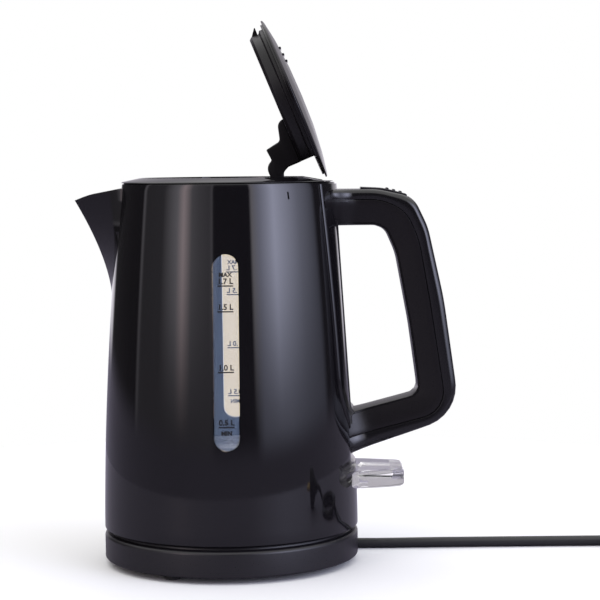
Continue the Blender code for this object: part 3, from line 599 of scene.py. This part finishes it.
def spout_outline(z, inset):
    """A level section of the beak: a wedge with a rounded tip, its back inside the jug."""
    radius = jug_radius(z)
    reach = radius + SPOUT_REACH * (max(0.0, z - SPOUT_LOW_Z) / 60.0) ** 1.5
    rise = min(1.0, (z - SPOUT_LOW_Z) / SPOUT_RISE)
    half = SPOUT_HALF_W * (1 - (1 - rise) ** 4)
    corner_x = math.sqrt(radius**2 - half**2)
    slant = math.atan2(half, reach - corner_x)
    tip_x = reach - inset / math.sin(slant)
    side = half - inset
    blunt = 1.0
    back = blunt / math.tan(slant)
    nose_x, knee_x = tip_x - back, tip_x - side / math.tan(slant)
    upper = [(tip_x - back * 0.5, 0.0), (tip_x - back * 0.62, blunt * 0.62)]
    for k in range(9):
        share = k / 8
        upper.append((nose_x + (knee_x - nose_x) * share, blunt + (side - blunt) * share))
    upper.append((50.0 - inset, side))
    lower = [(x, -y) for x, y in reversed(upper[1:])]
    return [(-x, y, z) for x, y in upper + lower]


def spout_solid(name, low, high, inset, levels):
    return loft(name, [spout_outline(low + (high - low) * k / (levels - 1), inset) for k in range(levels)])


def window_outline(inset):
    half = WINDOW_HALF + 0.3 - inset
    low, high = WINDOW_LOW_Z - 0.3 + inset, WINDOW_HIGH_Z + 0.3 - inset
    edge = half - 0.01
    left, right = WINDOW_X - half, WINDOW_X + half
    return fillet([(left, low, edge), (right, low, edge), (right, high, edge), (left, high, edge)], 7.5)


def jug_wall():
    """The turned wall with its rear flat, as a closed grid."""
    angles = [math.radians(a) for a in range(0, 12, 3)]
    angles += [math.radians(12 + 0.75 * k) for k in range(16)]
    angles += [math.radians(a) for a in range(24, 181, 2)]
    angles += [2 * math.pi - a for a in reversed(angles[1:-1])]
    heights = [JUG_FOOT_Z + 0.8, 30, 40, 50, 57, 60, 62, 63, 64, 65]
    heights += [65 + 5.8 * k for k in range(1, 25)]
    heights += [208, 211, 212, 213, 214, 216, 220, 224, 228, JUG_TOP_Z - 0.6]
    rings = []
    for a in angles:
        outer = [(wall_radius(a, z), z) for z in heights]
        inner = [(wall_radius(a, z, WALL), z) for z in heights]
        foot = [(inner[0][0] + 0.4, JUG_FOOT_Z + 0.1), (outer[0][0] - 0.5, JUG_FOOT_Z),
                (outer[0][0] - 0.12, JUG_FOOT_Z + 0.25)]
        rim = [(outer[-1][0] - 0.2, JUG_TOP_Z - 0.1), (outer[-1][0] - 0.6, JUG_TOP_Z),
               (inner[-1][0], JUG_TOP_Z)]
        section = outer + rim + inner[::-1] + foot
        rings.append([(r * math.cos(a), r * math.sin(a), z) for r, z in section])
    return loft("jug_body", rings, closed=True)


def make_jug():
    wall = jug_wall()
    slot = block("slot", (60, -SLOT_HALF_W, SLOT_LOW_Z), (90, SLOT_HALF_W, SLOT_HIGH_Z))
    slit = block("slit", (36.9, -62, 222.8), (37.8, -52.6, 227.2))
    pivot = world((39, 0, 225))
    lean = Matrix.Translation(pivot) @ Matrix.Rotation(-0.12, 4, "Y") @ Matrix.Translation(-pivot)
    slit.data.transform(lean)
    windows = slab("windows", window_outline(0.0), 95, 0.02, steps=0)
    throat = spout_solid("throat", 168.0, 238.0, 2.2, 20)
    carve(wall, "DIFFERENCE", windows, slot, throat, slit)
    finish_piece(wall, "jug", "gloss_black", replaces=["jug_shell"])

    beak = spout_solid("beak_shell", 162.6, 236.0, 0.0, 44)
    tip_x, tip_z = -93.8, 222.0
    cut = [
        (tip_x - 36, tip_z - LIP_SLOPE * 36), (tip_x, tip_z), (tip_x + 10, tip_z + 3.7, 40),
        (tip_x + 30, tip_z + 7.4), (tip_x + 54, tip_z + 10), (tip_x + 54, 260), (tip_x - 36, 260),
    ]
    core = [(0, 250), (65.6, 250), (65.6, JUG_TOP_Z), (64.4, JUG_TOP_Z)]
    core += [(jug_radius(z) - 1.2, z) for z in range(228, 150, -6)]
    core += [(jug_radius(150) - 1.2, 150), (0, 150)]
    carve(
        beak, "DIFFERENCE",
        slab("lip", fillet(cut), 40, 0.02, steps=0),
        spout_solid("hollow", 168.5, 240.0, 2.0, 30),
        lathe("core", core, 96),
    )
    soften(beak, 0.35)
    finish_piece(beak, "jug", "satin_black", "gloss_black", replaces=["spout_beak"])


def make_plate():
    """The heating plate: a shallow steel dish with an upturned rim."""
    under, top, rim = 58.7, 59.6, 66.2
    profile = [
        (0, under), (70.6, under, 2.0), (72.6, 66.0, 0.2), (72.0, rim, 0.2), (69.6, 60.0, 1.5), (60.0, top),
        (56.0, 60.3, 4), (52.0, top, 4), (0, top),
    ]
    plate = lathe("heating_dish", profile, 128, arc=12.0)
    finish_piece(plate, "jug", "steel", replaces=["heating_plate"])


def make_windows():
    """Panes that follow the wall, a little below its face, with rounded edges."""
    low, high = WINDOW_LOW_Z + 0.1, WINDOW_HIGH_Z - 0.1
    half = WINDOW_HALF - 0.05
    stations = [low + half * (1 - math.cos(math.radians(a))) for a in range(6, 90, 7)]
    stations += [low + half + (high - low - 2 * half) * k / 24 for k in range(25)]
    stations += [high - half * (1 - math.cos(math.radians(a))) for a in range(85, 5, -7)]
    for side, name, tint in ((-1, "near", "clear"), (1, "far", "clear_warm")):
        rings = []
        for z in stations:
            dip = max(low + half - z, z - high + half, 0.0)
            reach = math.sqrt(max(half**2 - dip**2, 0.01))
            ring = []
            across = [reach * math.sin(math.radians(a)) for a in range(-90, 91, 15)]
            for depth, row in ((PANE_DEPTH, across), (2.3, across[::-1])):
                for x in row:
                    edge = 0.2 * (abs(x) / reach) ** 8 if depth < 1 else 0.0
                    radius = jug_radius(z) - depth - edge
                    ring.append((WINDOW_X + x, side * math.sqrt(radius**2 - (WINDOW_X + x)**2), z))
            rings.append(ring)
        pane = loft(f"window_pane_{name}", rings, sharp=50.0)
        finish_piece(pane, "jug", "clear", tint, replaces=[f"gauge_window_{name}"])
        make_marks(side, name)


def text_mesh(words, height, base_z, side):
    """Generic lettering in the plane through the jug's axis, facing out at its side."""
    curve = bpy.data.curves.new("text", "FONT")
    curve.body = words
    curve.size = height * MM
    curve.align_x = "CENTER"
    curve.extrude = MARK_DEPTH / 2 * MM
    curve.resolution_u = 3
    curve.offset = 0.00012
    obj = add_object("text", curve)
    mesh = evaluated_mesh(obj)
    bpy.data.objects.remove(obj)
    face = Matrix.Rotation(math.pi / 2, 4, "X")
    if side > 0:
        face = Matrix.Rotation(math.pi, 4, "Z") @ face
    mesh.transform(Matrix.Translation(world((WINDOW_X, 0, base_z))) @ face)
    return mesh


def line_mesh(z, half, thickness):
    """A level line, with enough stations to bend."""
    rings = []
    for k in range(9):
        x = WINDOW_X - half + half * k / 4
        ring = [(-1, -1), (1, -1), (1, 1), (-1, 1)]
        rings.append([(x, MARK_DEPTH / 2 * y, z + thickness / 2 * up) for y, up in ring])
    line = loft("line", rings, sharp=20.0)
    mesh = line.data
    bpy.data.objects.remove(line)
    return mesh


def make_marks(side, name):
    """Level lines and figures that lie on the pane's face and follow its curve."""
    meshes = []
    for z, words in LEVEL_MARKS:
        meshes.append(text_mesh(words, 4.5, z + 1.2, side))
        meshes.append(line_mesh(z, 4.6, 0.7))
    meshes.append(text_mesh("MAX", 3.5, LEVEL_MARKS[0][0] + 5.3, side))
    meshes.append(text_mesh("MIN", 3.5, LEVEL_MARKS[-1][0] - 4.7, side))
    shape = bmesh.new()
    for mesh in meshes:
        shape.from_mesh(mesh)
    bmesh.ops.remove_doubles(shape, verts=shape.verts, dist=0.000001)
    for vert in shape.verts:
        x = (vert.co.x - AXIS_X) / MM
        radius = jug_radius(vert.co.z / MM) - PANE_DEPTH + MARK_DEPTH / 2 - 0.01
        vert.co.y += side * math.sqrt(radius**2 - x**2) * MM
    mesh = bpy.data.meshes.new(f"level_marks_{name}")
    shape.to_mesh(mesh)
    shape.free()
    finish_piece(add_object(f"level_marks_{name}", mesh), "jug", "satin_black", "ink")


def make_collar():
    """The ring on the jug's rim, notched at the rear for the lid's arm."""
    bore, seat, skirt_in, skirt_out, skirt_z = 47.5, 52.2, 60.9, 62.9, 224.0
    profile = [
        (seat, 235.4, 0.4), (53.4, 235.4, 1.0), (64.0, 233.2, 0.6), (64.8, 232.5, 0.15), (63.4, 232.3, 0.2),
        (skirt_out, 231.4, 0.3), (skirt_out, skirt_z, 0.3), (skirt_in, skirt_z, 0.3), (skirt_in, 229.5),
        (bore, 229.5, 0.3), (bore, 232.1, 0.5), (seat, 232.1, 0.3),
    ]
    collar = lathe("collar_ring", profile, 160, arc=15.0)
    carve(
        collar, "DIFFERENCE",
        block("swing", (44, -27, 232.7), (70, 27, 240)),
        block("arm_slot", (40, -10.5, 220), (63.4, 10.5, 240)),
    )
    soften(collar, 0.25)
    finish_piece(collar, "jug", "gloss_black", replaces=["top_collar"])


# Handle


def path(points, count):
    """The filleted polyline through the corners, count points to each stretch between the middles
    of its arcs, so that paths with as many corners match."""
    stretches = [[Vector(points[0][:2])]]
    for i in range(1, len(points) - 1):
        here = Vector(points[i][:2])
        back = (Vector(points[i - 1][:2]) - here).normalized()
        ahead = (Vector(points[i + 1][:2]) - here).normalized()
        turn = math.pi - back.angle(ahead)
        radius = points[i][2]
        centre = here + (back + ahead).normalized() * radius / math.cos(turn / 2)
        first = here + back * radius * math.tan(turn / 2) - centre
        way = 1 if back.cross(ahead) < 0 else -1
        arc = [centre + Matrix.Rotation(way * turn * k / 16, 2) @ first for k in range(17)]
        stretches[-1] += arc[:9]
        stretches.append(arc[8:])
    stretches[-1].append(Vector(points[-1][:2]))
    out = []
    for stretch in stretches:
        lengths = [0.0]
        for a, b in zip(stretch, stretch[1:]):
            lengths.append(lengths[-1] + (b - a).length)
        for k in range(count):
            goal = lengths[-1] * k / count
            i = max(j for j, length in enumerate(lengths[:-1]) if length <= goal)
            step = lengths[i + 1] - lengths[i]
            share = (goal - lengths[i]) / step if step else 0.0
            out.append(stretch[i].lerp(stretch[i + 1], share))
    out.append(stretches[-1][-1])
    return out


def handle_outer():
    return [(59, 227.4, 0), (91, 227.4, 40), (113.0, 222.6, 15), (121.8, 204.0, 45), (131.2, 160.0, 200),
            (140.7, 89.6, 25.5), (66, 64.3, 0)]


def handle_seam(shift):
    return [(59, 220.9 + shift, 0), (94, 220.9 + shift, 30), (108.4 + shift, 213.6, 22),
            (115.8 + shift, 196.0, 60), (122.2 + shift, 159.0, 200), (132.0 + shift, 92.3 - shift, 16),
            (66, 75.6 - shift, 0)]


def handle_gap():
    return [(59, 205.4, 0), (89.0, 205.4, 6), (95.5, 203.2, 9), (101.8, 188.5, 40), (109.5, 146.0, 150),
            (115.1, 103.2, 6.5), (66, 90.6, 0)]


def flare_width(x, z):
    """The handle's half-width, wider where it meets the jug, and never past the jug's own side."""
    radius = jug_radius(z)
    spread = 20.0 if z > 150 else 9.0
    flared = HANDLE_HALF_W + spread * max(0.0, (radius + 12.0 - x) / 20.0) ** 2.2
    side = math.sqrt(max((radius + 1.0) ** 2 - x**2, 0.0))
    return flared if x > radius - 2.0 else min(flared, max(side, HANDLE_HALF_W))


def frame_section(thickness, half):
    """Crowned next to the hand, then a fine groove and a facet, and a tongue that enters the cover:
    (depth from the gap, y) points."""
    points = []
    crown = min(0.9, thickness * 0.2)
    for k in range(1, 11):
        a = math.radians(9 * k)
        points.append((crown * (1 - math.cos(a)), (half - 2.5) * math.sin(a)))
    points += [
        (crown + 0.25, half - 2.9), (crown + 0.85, half - 2.9), (crown + 1.1, half - 2.3),
        (thickness * 0.75, half - 0.1), (thickness - 1.0, half), (thickness - 0.25, half - 0.06),
        (thickness, half - 0.3), (thickness, half - 1.1), (thickness + 0.8, half - 1.3),
    ]
    return points


def cover_section(thickness, half):
    """The back of the handle, flat at its sides and rounded at its edges: (depth from the seam, y)
    points."""
    rounding = min(4.5, thickness * 0.5)
    points = [(0.0, half - 0.4), (0.2, half - 0.12), (0.5, half - 0.02)]
    for k in range(11):
        a = math.radians(9 * k)
        points.append((thickness - rounding * (1 - math.sin(a)), half - rounding * (1 - math.cos(a))))
    points.append((thickness + 0.25, (half - rounding) * 0.5))
    return points


def handle_loft(name, inner, outer, section):
    rings = []
    for near, far in zip(inner, outer):
        reach = far - near
        half = flare_width((near.x + far.x) / 2, (near.y + far.y) / 2)
        side = section(reach.length, half)
        ring = [(near + reach.normalized() * depth, y) for depth, y in side]
        ring += [(point, -y) for point, y in reversed(ring)]
        rings.append([(point.x, y, point.y) for point, y in ring])
    return loft(name, rings, sharp=50.0)


def jug_core(grow):
    """The jug's outer form, to trim the handle's roots with."""
    rings = []
    for k in range(120):
        a = 2 * math.pi * k / 120
        column = [(wall_radius(a, z) + grow, z) for z in range(40, 236, 6)]
        around = [(r * math.cos(a), r * math.sin(a), z) for r, z in reversed(column)]
        rings.append([(0, 0, 234), *around, (0, 0, 40)])
    return loft("core", rings, closed=True)


def button_well():
    """The room for the button and its lug in the top of the handle."""
    return block("well", (80.4, -9.5, 216.6), (110.6, 9.5, 230))


def make_handle():
    """The frame next to the hand and the cover behind it, lofted along the same stations."""
    count = 14
    seam = path(handle_seam(0.0), count)
    frame_piece = handle_loft("handle_grip", path(handle_gap(), count), seam, frame_section)
    carve(frame_piece, "DIFFERENCE", jug_core(-0.4), button_well())
    finish_piece(frame_piece, "jug", "satin_black", "frame_black", replaces=["handle_frame"])

    outer = path(handle_outer(), count)
    cover = handle_loft("handle_back", path(handle_seam(0.35), count), outer, cover_section)
    carve(cover, "DIFFERENCE", jug_core(-0.4), button_well())
    finish_piece(cover, "jug", "gloss_black", "gloss_handle", replaces=["handle_cover"])


def make_spine():
    """The strip along the rear flat, wider at its ends and thickened at the foot of the opening."""
    stations = 56
    chamfer_z, chamfer_height = 92.0, 3.2
    rings = []
    for k in range(stations + 1):
        z = SPINE_LOW_Z + (SPINE_HIGH_Z - SPINE_LOW_Z) * k / stations
        lower = max(0.0, 1 - (z - SPINE_LOW_Z) / 22.0)
        upper = max(0.0, 1 - (SPINE_HIGH_Z - z) / 14.0)
        half = SPINE_HALF_W + 6.0 * (lower**2 + upper**2)
        chamfer = max(0.0, 1 - (z - chamfer_z) / chamfer_height) * (z >= chamfer_z)
        face = flat_x(z) + 2.2 + 2.6 * chamfer
        ring = [(face - 6.0, -half, z), (face - 1.6, -half, z), (face - 0.5, -half + 0.35, z)]
        ring += [(face, (half - 1.3) * (k / 4 - 1), z) for k in range(9)]
        ring += [(face - 0.5, half - 0.35, z), (face - 1.6, half, z), (face - 6.0, half, z)]
        rings.append(ring)
    spine = loft("handle_spine", rings, sharp=40.0)
    finish_piece(spine, "jug", "satin_black", "frame_black")


def pad_depth(arc, z):
    """How far a point of the wall is inside the pad's outline, along the wall."""
    below = max(0.0, PAD_ROUND_Z - z) / PAD_FOOT
    return PAD_HALF * (1 - math.sqrt((arc / PAD_HALF) ** 2 + below**2))


def make_pad():
    """The raised panel of the wall that the handle grows from."""
    rings = []
    low = PAD_ROUND_Z - PAD_FOOT
    heights = [low + PAD_FOOT * (1 - math.cos(math.radians(a))) for a in range(4, 90, 6)]
    heights += [PAD_ROUND_Z + (PAD_TOP_Z - PAD_ROUND_Z) * k / 24 for k in range(25)]
    for z in heights:
        below = max(0.0, PAD_ROUND_Z - z) / PAD_FOOT
        half = PAD_HALF * math.sqrt(max(1 - below**2, 0.0))
        across = [half * math.sin(math.radians(a)) for a in range(-90, 91, 5)]
        outer, inner = [], []
        for arc in across:
            angle = arc / jug_radius(z)
            near = min(1.0, max(0.0, pad_depth(arc, z)) / PAD_EDGE)
            lift = PAD_LIFT * math.sqrt(1 - (1 - near) ** 2)
            wall = wall_radius(angle, z)
            outer.append(((wall + lift) * math.cos(angle), (wall + lift) * math.sin(angle), z))
            inner.append(((wall - 0.6) * math.cos(angle), (wall - 0.6) * math.sin(angle), z))
        rings.append(outer + inner[::-1])
    pad = loft("handle_pad", rings, sharp=60.0)
    finish_piece(pad, "jug", "gloss_black")


def make_button():
    """The lid's button: a curved plate with three ribs, and a lug that reaches the slider."""
    outline = [
        (81.0, 228.7, 0.4), (95.0, 228.0, 40), (108.9, 224.3, 1.2), (109.6, 220.9, 0.3), (107.9, 220.9, 0.3),
        (107.2, 222.8, 1.0), (95.0, 226.0, 40), (81.0, 227.2, 0.4),
    ]
    top = slab("button_top", fillet(outline, 4), 9.0, 0.5, steps=3)
    for x, z in ((97.3, 227.3), (101.3, 226.3), (105.3, 225.2)):
        carve(top, "UNION", rod("rib", (x, -6.5, z), (x, 6.5, z), 0.9, sides=24, rounding=0.5))
    x, z = 83.5, 225.0
    lug = [(x - 2.3, z + 1.5), (x + 2.3, z + 2.2), (x + 2.3, z - 4), (x + 1.2, 214.4), (x - 0.9, 214.4),
           (x - 0.9, z - 4), (x - 2.3, z - 2)]
    carve(top, "UNION", slab("lug", lug, 2.9, 0.3, steps=1))
    finish_piece(top, "release_button", "satin_black", replaces=["release_button"])


def make_paddle():
    """The clear switch paddle: two soft lobes at its end, a stem at its root, and a groove in its end."""
    x = PADDLE_PIN_X
    inner = jug_radius(48) + 1.6
    arc = [math.radians(a) for a in range(-21, 22, 3)]
    root = [(inner * math.cos(a), inner * math.sin(a)) for a in arc]
    tip = [(82.0, 27.8, 6), (96.0, 24.2, 20), (105.9, 19.5, 7), (105.9, -19.5, 7), (96.0, -24.2, 20),
           (82.0, -27.8, 6)]
    outline = root + fillet([root[-1], *tip, root[0]], 8)[1:-1]
    paddle = slab("paddle_top", outline, 0, 2.2, steps=4, plan=(PADDLE_LOW_Z, PADDLE_HIGH_Z))
    carve(paddle, "UNION", block("stem", (x - 4.0, -8.4, 46.4), (inner + 4, 8.4, 56.6)))
    groove = [(98, 52.1), (112, 51.3), (112, 53.7), (98, 52.9)]
    carve(paddle, "DIFFERENCE", slab("groove", groove, 40, 0.1, steps=0))
    finish_piece(paddle, "switch_paddle", "paddle_clear", replaces=["switch_paddle"])


# Lid


def make_lid():
    """The lid's cover with its three ribs, the cup cut off straight at the rear, the arm and the latch."""
    cover = [
        (0, 239.8), (20, 239.3), (38, 237.6, 60), (49.4, 235.6, 6), (51.1, 234.9, 0.5), (51.1, 233.9, 0.3),
        (48.9, 233.9), (48.9, 232.7, 0.3), (46.5, 232.7), (46.5, 234.2), (38, 235.2), (20, 236.6), (0, 237.0),
    ]
    top = lathe("lid_plate", cover, 160, arc=6.0)
    for x in (-31.3, -27.0, -22.7):
        z = 238.75 + (x + 27.0) * 0.075
        carve(top, "UNION", rod("rib", (x, -11, z), (x, 11, z), 0.8, sides=24, rounding=0.6))
    finish_piece(open_lid(top), "lid", "lid_black", "lid_gloss", replaces=["lid_top_cover"])

    rear, wall = 36.4, 1.6
    outside = [(0, 233.4), (46.2, 233.4, 0.3), (46.2, 230.8, 0.4), (44.6, 230.0, 0.4), (44.6, 225.2, 0.6),
               (42.9, 223.4, 1.0), (0, 223.4)]
    inside = [(0, 240.0), (44.6, 240.0), (44.6, 231.0), (42.8, 230.0), (42.8, 224.9), (0, 224.9)]
    cup = lathe("lid_cup", outside, 160)
    hollow = lathe("hollow", inside, 96)
    carve(hollow, "DIFFERENCE", block("end", (rear - wall, -60, 200), (60, 60, 250)))
    carve(
        cup, "DIFFERENCE",
        block("rear", (rear, -60, 200), (60, 60, 250)), hollow,
        block("slot", (-52, -7.4, 225.0), (-40, 7.4, 229.7)),
    )
    soften(cup, 0.3)
    finish_piece(open_lid(cup), "lid", "lid_black", replaces=["lid_inner_cup"])

    x, z = 56.3, 227.7
    outline = [
        (8.6, 223.6, 0.3), (9.2, 219.6, 5), (20.2, 216.6, 2.5), (21.9, 206.9, 0.8), (29.0, 207.6, 1.5),
        (31.4, 203.0, 6), (43.0, 202.9, 8), (61.0, 221.5, 5), (61.0, 227.7, 2.5), (51.6, 227.7, 1.5),
        (50.6, 222.5, 6), (44.2, 210.8, 3), (38.8, 210.8, 3.5), (36.6, 215.4, 2), (36.6, 223.6, 0.3),
    ]
    arm = slab("gooseneck", fillet(outline, 8), 9.0, 0.8, steps=3)
    carve(arm, "UNION", rod("eye", (x, -9.0, z), (x, 9.0, z), 5.0, sides=40, rounding=0.5))
    carve(
        arm, "DIFFERENCE",
        rod("bore", (x, -12, z), (x, 12, z), 2.15, sides=24),
        block("spring_room", (50.3, -4.2, 220.5), (64, 4.2, 235)),
    )
    finish_piece(open_lid(arm), "lid", "lid_black", replaces=["lid_hinge_arm"])

    bar = [(-49.1, 229.2, 0.3), (-44.0, 225.3, 0.5), (-26.0, 225.3, 0.5), (-26.0, 229.2, 0.5)]
    latch = slab("latch_bolt", fillet(bar, 12), 7.0, 0.4, steps=2)
    finish_piece(open_lid(latch), "lid_latch", "lid_black", replaces=["lid_latch"])


# Base and lead


def make_base():
    """The base's housing, with an arch at the rear for the lead."""
    shell = [
        (17.1, 21.8, 0.4), (72.8, 21.8, 0.6), (73.6, 21.0, 0.5), (74.0, 19.8, 0.4), (76.6, 19.5, 1.4),
        (BASE_R - 0.02, 18.2, 2.2), (BASE_R - 0.02, BASE_LOW_Z, 1.3), (75.6, BASE_LOW_Z, 0.3), (75.6, 17.4),
        (71.9, 19.4), (17.1, 19.4),
    ]
    housing = lathe("base_shell", shell, 160, arc=10.0)
    notch = fillet([(22.4, -2), (33.6, -2), (33.6, 11.4, 5.5), (22.4, 11.4, 5.5)], 10)
    tool = slab("notch", notch, 12, 0.02, steps=0)
    spin = Matrix.Translation((AXIS_X, 0, 0)) @ Matrix.Rotation(math.pi / 2, 4, "Z")
    tool.data.transform(Matrix.Translation((76 * MM, 0, 0)) @ spin @ Matrix.Translation((-AXIS_X, 0, 0)))
    carve(housing, "DIFFERENCE", tool)
    finish_piece(housing, "power_base", "satin_black", replaces=["base_housing"])


def ease(value, low, high):
    t = min(1.0, max(0.0, (value - low) / (high - low)))
    return t * t * (3 - 2 * t)


def coil_point(turn):
    """A point of the coil, turn degrees after it starts: round once inside, up over its own start,
    down to the outer side, and over the straight lead in one low hump."""
    inner, outer, top = 31.7, 38.3, CORD_Z + 6.45
    radius = COIL_R + (inner - COIL_R) * ease(turn, 0, 45)
    z = CORD_Z + (top - CORD_Z) * ease(turn, 285, 345)
    roll = math.pi / 2 * (1 - ease(turn, 475, 560))
    if turn > 475:
        radius = inner + (outer - inner) * math.cos(roll)
        z = CORD_Z + (top - CORD_Z) * math.sin(roll)
    z += (top - CORD_Z) * (ease(turn, 620, 680) - ease(turn, 722, 775))
    angle = math.radians(90 - turn)
    return (COIL_CENTRE[0] + radius * math.cos(angle), COIL_CENTRE[1] + radius * math.sin(angle), z)


def lead_route(relief_end, plug_place):
    """The lead's centre line, from inside its boot to inside the plug."""
    plug_x, neck_y, plug_z = plug_place
    straight = [
        (relief_end - 6.0, CORD_Y, 4.5), (relief_end + 0.3, CORD_Y, 4.4), (60, CORD_Y, 3.9),
        (75, CORD_Y, CORD_Z), (130, CORD_Y, CORD_Z), (180, CORD_Y, CORD_Z), (257.4, CORD_Y, CORD_Z),
    ]
    coil = [coil_point(turn) for turn in range(0, 811, 10)]
    lead = [
        (plug_x + 2.2, COIL_CENTRE[1] - 14.0, CORD_Z + 0.1), (plug_x, COIL_CENTRE[1] - 27.4, 3.7),
        (plug_x, -40, 5.4), (plug_x, -50, 10.5), (plug_x, -60, 15.8), (plug_x, -68, 18.0),
        (plug_x, neck_y - 4.0, plug_z),
    ]
    return [world(p) for p in straight + coil + lead]


def tube(name, route, radius):
    """A round curve through the points of a route."""
    curve = bpy.data.curves.new(name, "CURVE")
    curve.dimensions = "3D"
    curve.bevel_depth = radius * MM
    curve.bevel_resolution = 6
    curve.use_fill_caps = True
    curve.resolution_u = 4
    spline = curve.splines.new("BEZIER")
    spline.bezier_points.add(len(route) - 1)
    for point, at in zip(spline.bezier_points, route):
        point.co = at
        point.handle_left_type = "AUTO"
        point.handle_right_type = "AUTO"
    return add_object(name, curve)


def make_plug(plug_place):
    """The ribbed plug with its side slots, and its two pins. Drawn upright, then laid along Y."""
    plug_frame = Matrix.Translation(world(plug_place)) @ Matrix.Rotation(-math.pi / 2, 4, "X")
    to_plug = plug_frame @ Matrix.Translation((-AXIS_X, 0, 0))
    profile = [
        (0, 0), (4.6, 0, 0.4), (5.6, -1.2, 0.5), (5.4, -3.0, 0.5), (5.9, -4.2, 0.5), (5.7, -6.0, 0.5),
        (6.4, -7.6, 1.0), (10.5, -15.8, 10), (16.9, -23.0, 5), (18.5, -27.4, 3), (18.5, -41.2, 0.8),
        (17.0, -42.0, 0.6), (0, -42.0),
    ]
    plug = lathe("plug_grip", profile, 96, arc=10.0)
    slot_x, pin_x = 19.0, 9.5
    for side in (-1, 1):
        slot = block("slot", (side * slot_x - 1.6, -3.4, -45), (side * slot_x + 1.6, 3.4, -30))
        carve(plug, "DIFFERENCE", slot)
    soften(plug, 0.4)
    plug.data.transform(to_plug)
    pieces = [finish_piece(plug, "power_base", "cord_black", replaces=["mains_plug_body"])]
    for side, name in ((-1, "left"), (1, "right")):
        start, end = (side * pin_x, 0, -41.0), (side * pin_x, 0, -61.0)
        pin = rod(f"pin_{name}", start, end, 2.4, sides=32, rounding=1.4)
        pin.data.transform(to_plug)
        pieces.append(finish_piece(pin, "power_base", "brass", replaces=[f"plug_pin_{name}"]))
    return pieces


def make_strap():
    """The strap that holds the coil's two turns side by side."""
    tie_x = COIL_CENTRE[0] - COIL_R
    outer, inner = 7.9, 6.9
    foot = 0.3
    top = CORD_Z + CORD_R + 0.3
    tie = [(tie_x - outer, foot, 0.4), (tie_x - outer, top + 1.0, 3.2), (tie_x + outer, top + 1.0, 3.2),
           (tie_x + outer, foot, 0.4), (tie_x + inner, foot), (tie_x + inner, top, 2.4),
           (tie_x - inner, top, 2.4), (tie_x - inner, foot)]
    strap = slab("cord_strap", fillet(tie, 10), 3.0, 0.25, y=COIL_CENTRE[1], steps=2)
    return finish_piece(strap, "power_base", "rubber", replaces=["cord_tie"])


def make_boot(start, relief_end):
    """The ribbed boot where the lead leaves the base."""
    ribs, pitch, neck, root = 6, 3.1, 3.5, 4.2
    profile = [(0, 0), (root, 0, 0.5)]
    for k in range(ribs):
        along = 3.0 + k * pitch
        rib = root - 0.03 * along
        profile += [(rib, along, 0.2), (neck, along + 0.4, 0.2)]
        profile += [(neck, along + 1.2, 0.2), (rib, along + 1.6, 0.2)]
    profile += [(neck, relief_end - start, 0.3), (0, relief_end - start)]
    boot = lathe("strain_boot", profile, 64, arc=20.0)
    lie = Matrix.Translation(world((start, CORD_Y, 4.5))) @ Matrix.Rotation(math.pi / 2, 4, "Y")
    boot.data.transform(lie @ Matrix.Translation((-AXIS_X, 0, 0)))
    finish_piece(boot, "power_base", "rubber", replaces=["cord_strain_relief"])


def make_cord():
    """The lead with all that is on it, and its boot."""
    (relief_start, _, _), (relief_end, _, _) = corners("cord_strain_relief")
    _, (_, neck_y, plug_top_z) = corners("mains_plug_body")
    plug_place = (COIL_CENTRE[0] + COIL_R, neck_y, plug_top_z / 2)
    route = lead_route(relief_end, plug_place)
    cord = tube("mains_cord", route, CORD_R)
    finish_piece(cord, "power_base", "cord_black", replaces=["power_cord", "cord_coil", "plug_lead"])
    pieces = [*make_plug(plug_place), make_strap()]
    make_boot(relief_start, relief_end)


# What keeps its CAD shape


def dress_nodes():
    """A procedural material for each node that shows its own shape."""
    for row in frame["record"]["subparts"]:
        node = frame["nodes"][row["node"]]
        node.data.materials.clear()
        node.data.materials.append(materials[row["material_slot"]])
        if not node.hide_render:
            shade(node)


make_camera()
make_materials()
make_studio()
make_floor()
make_cord()
make_jug()
make_plate()
make_windows()
make_collar()
make_handle()
make_spine()
make_pad()
make_button()
make_paddle()
make_lid()
make_base()
dress_nodes()

bpy.context.view_layer.update()
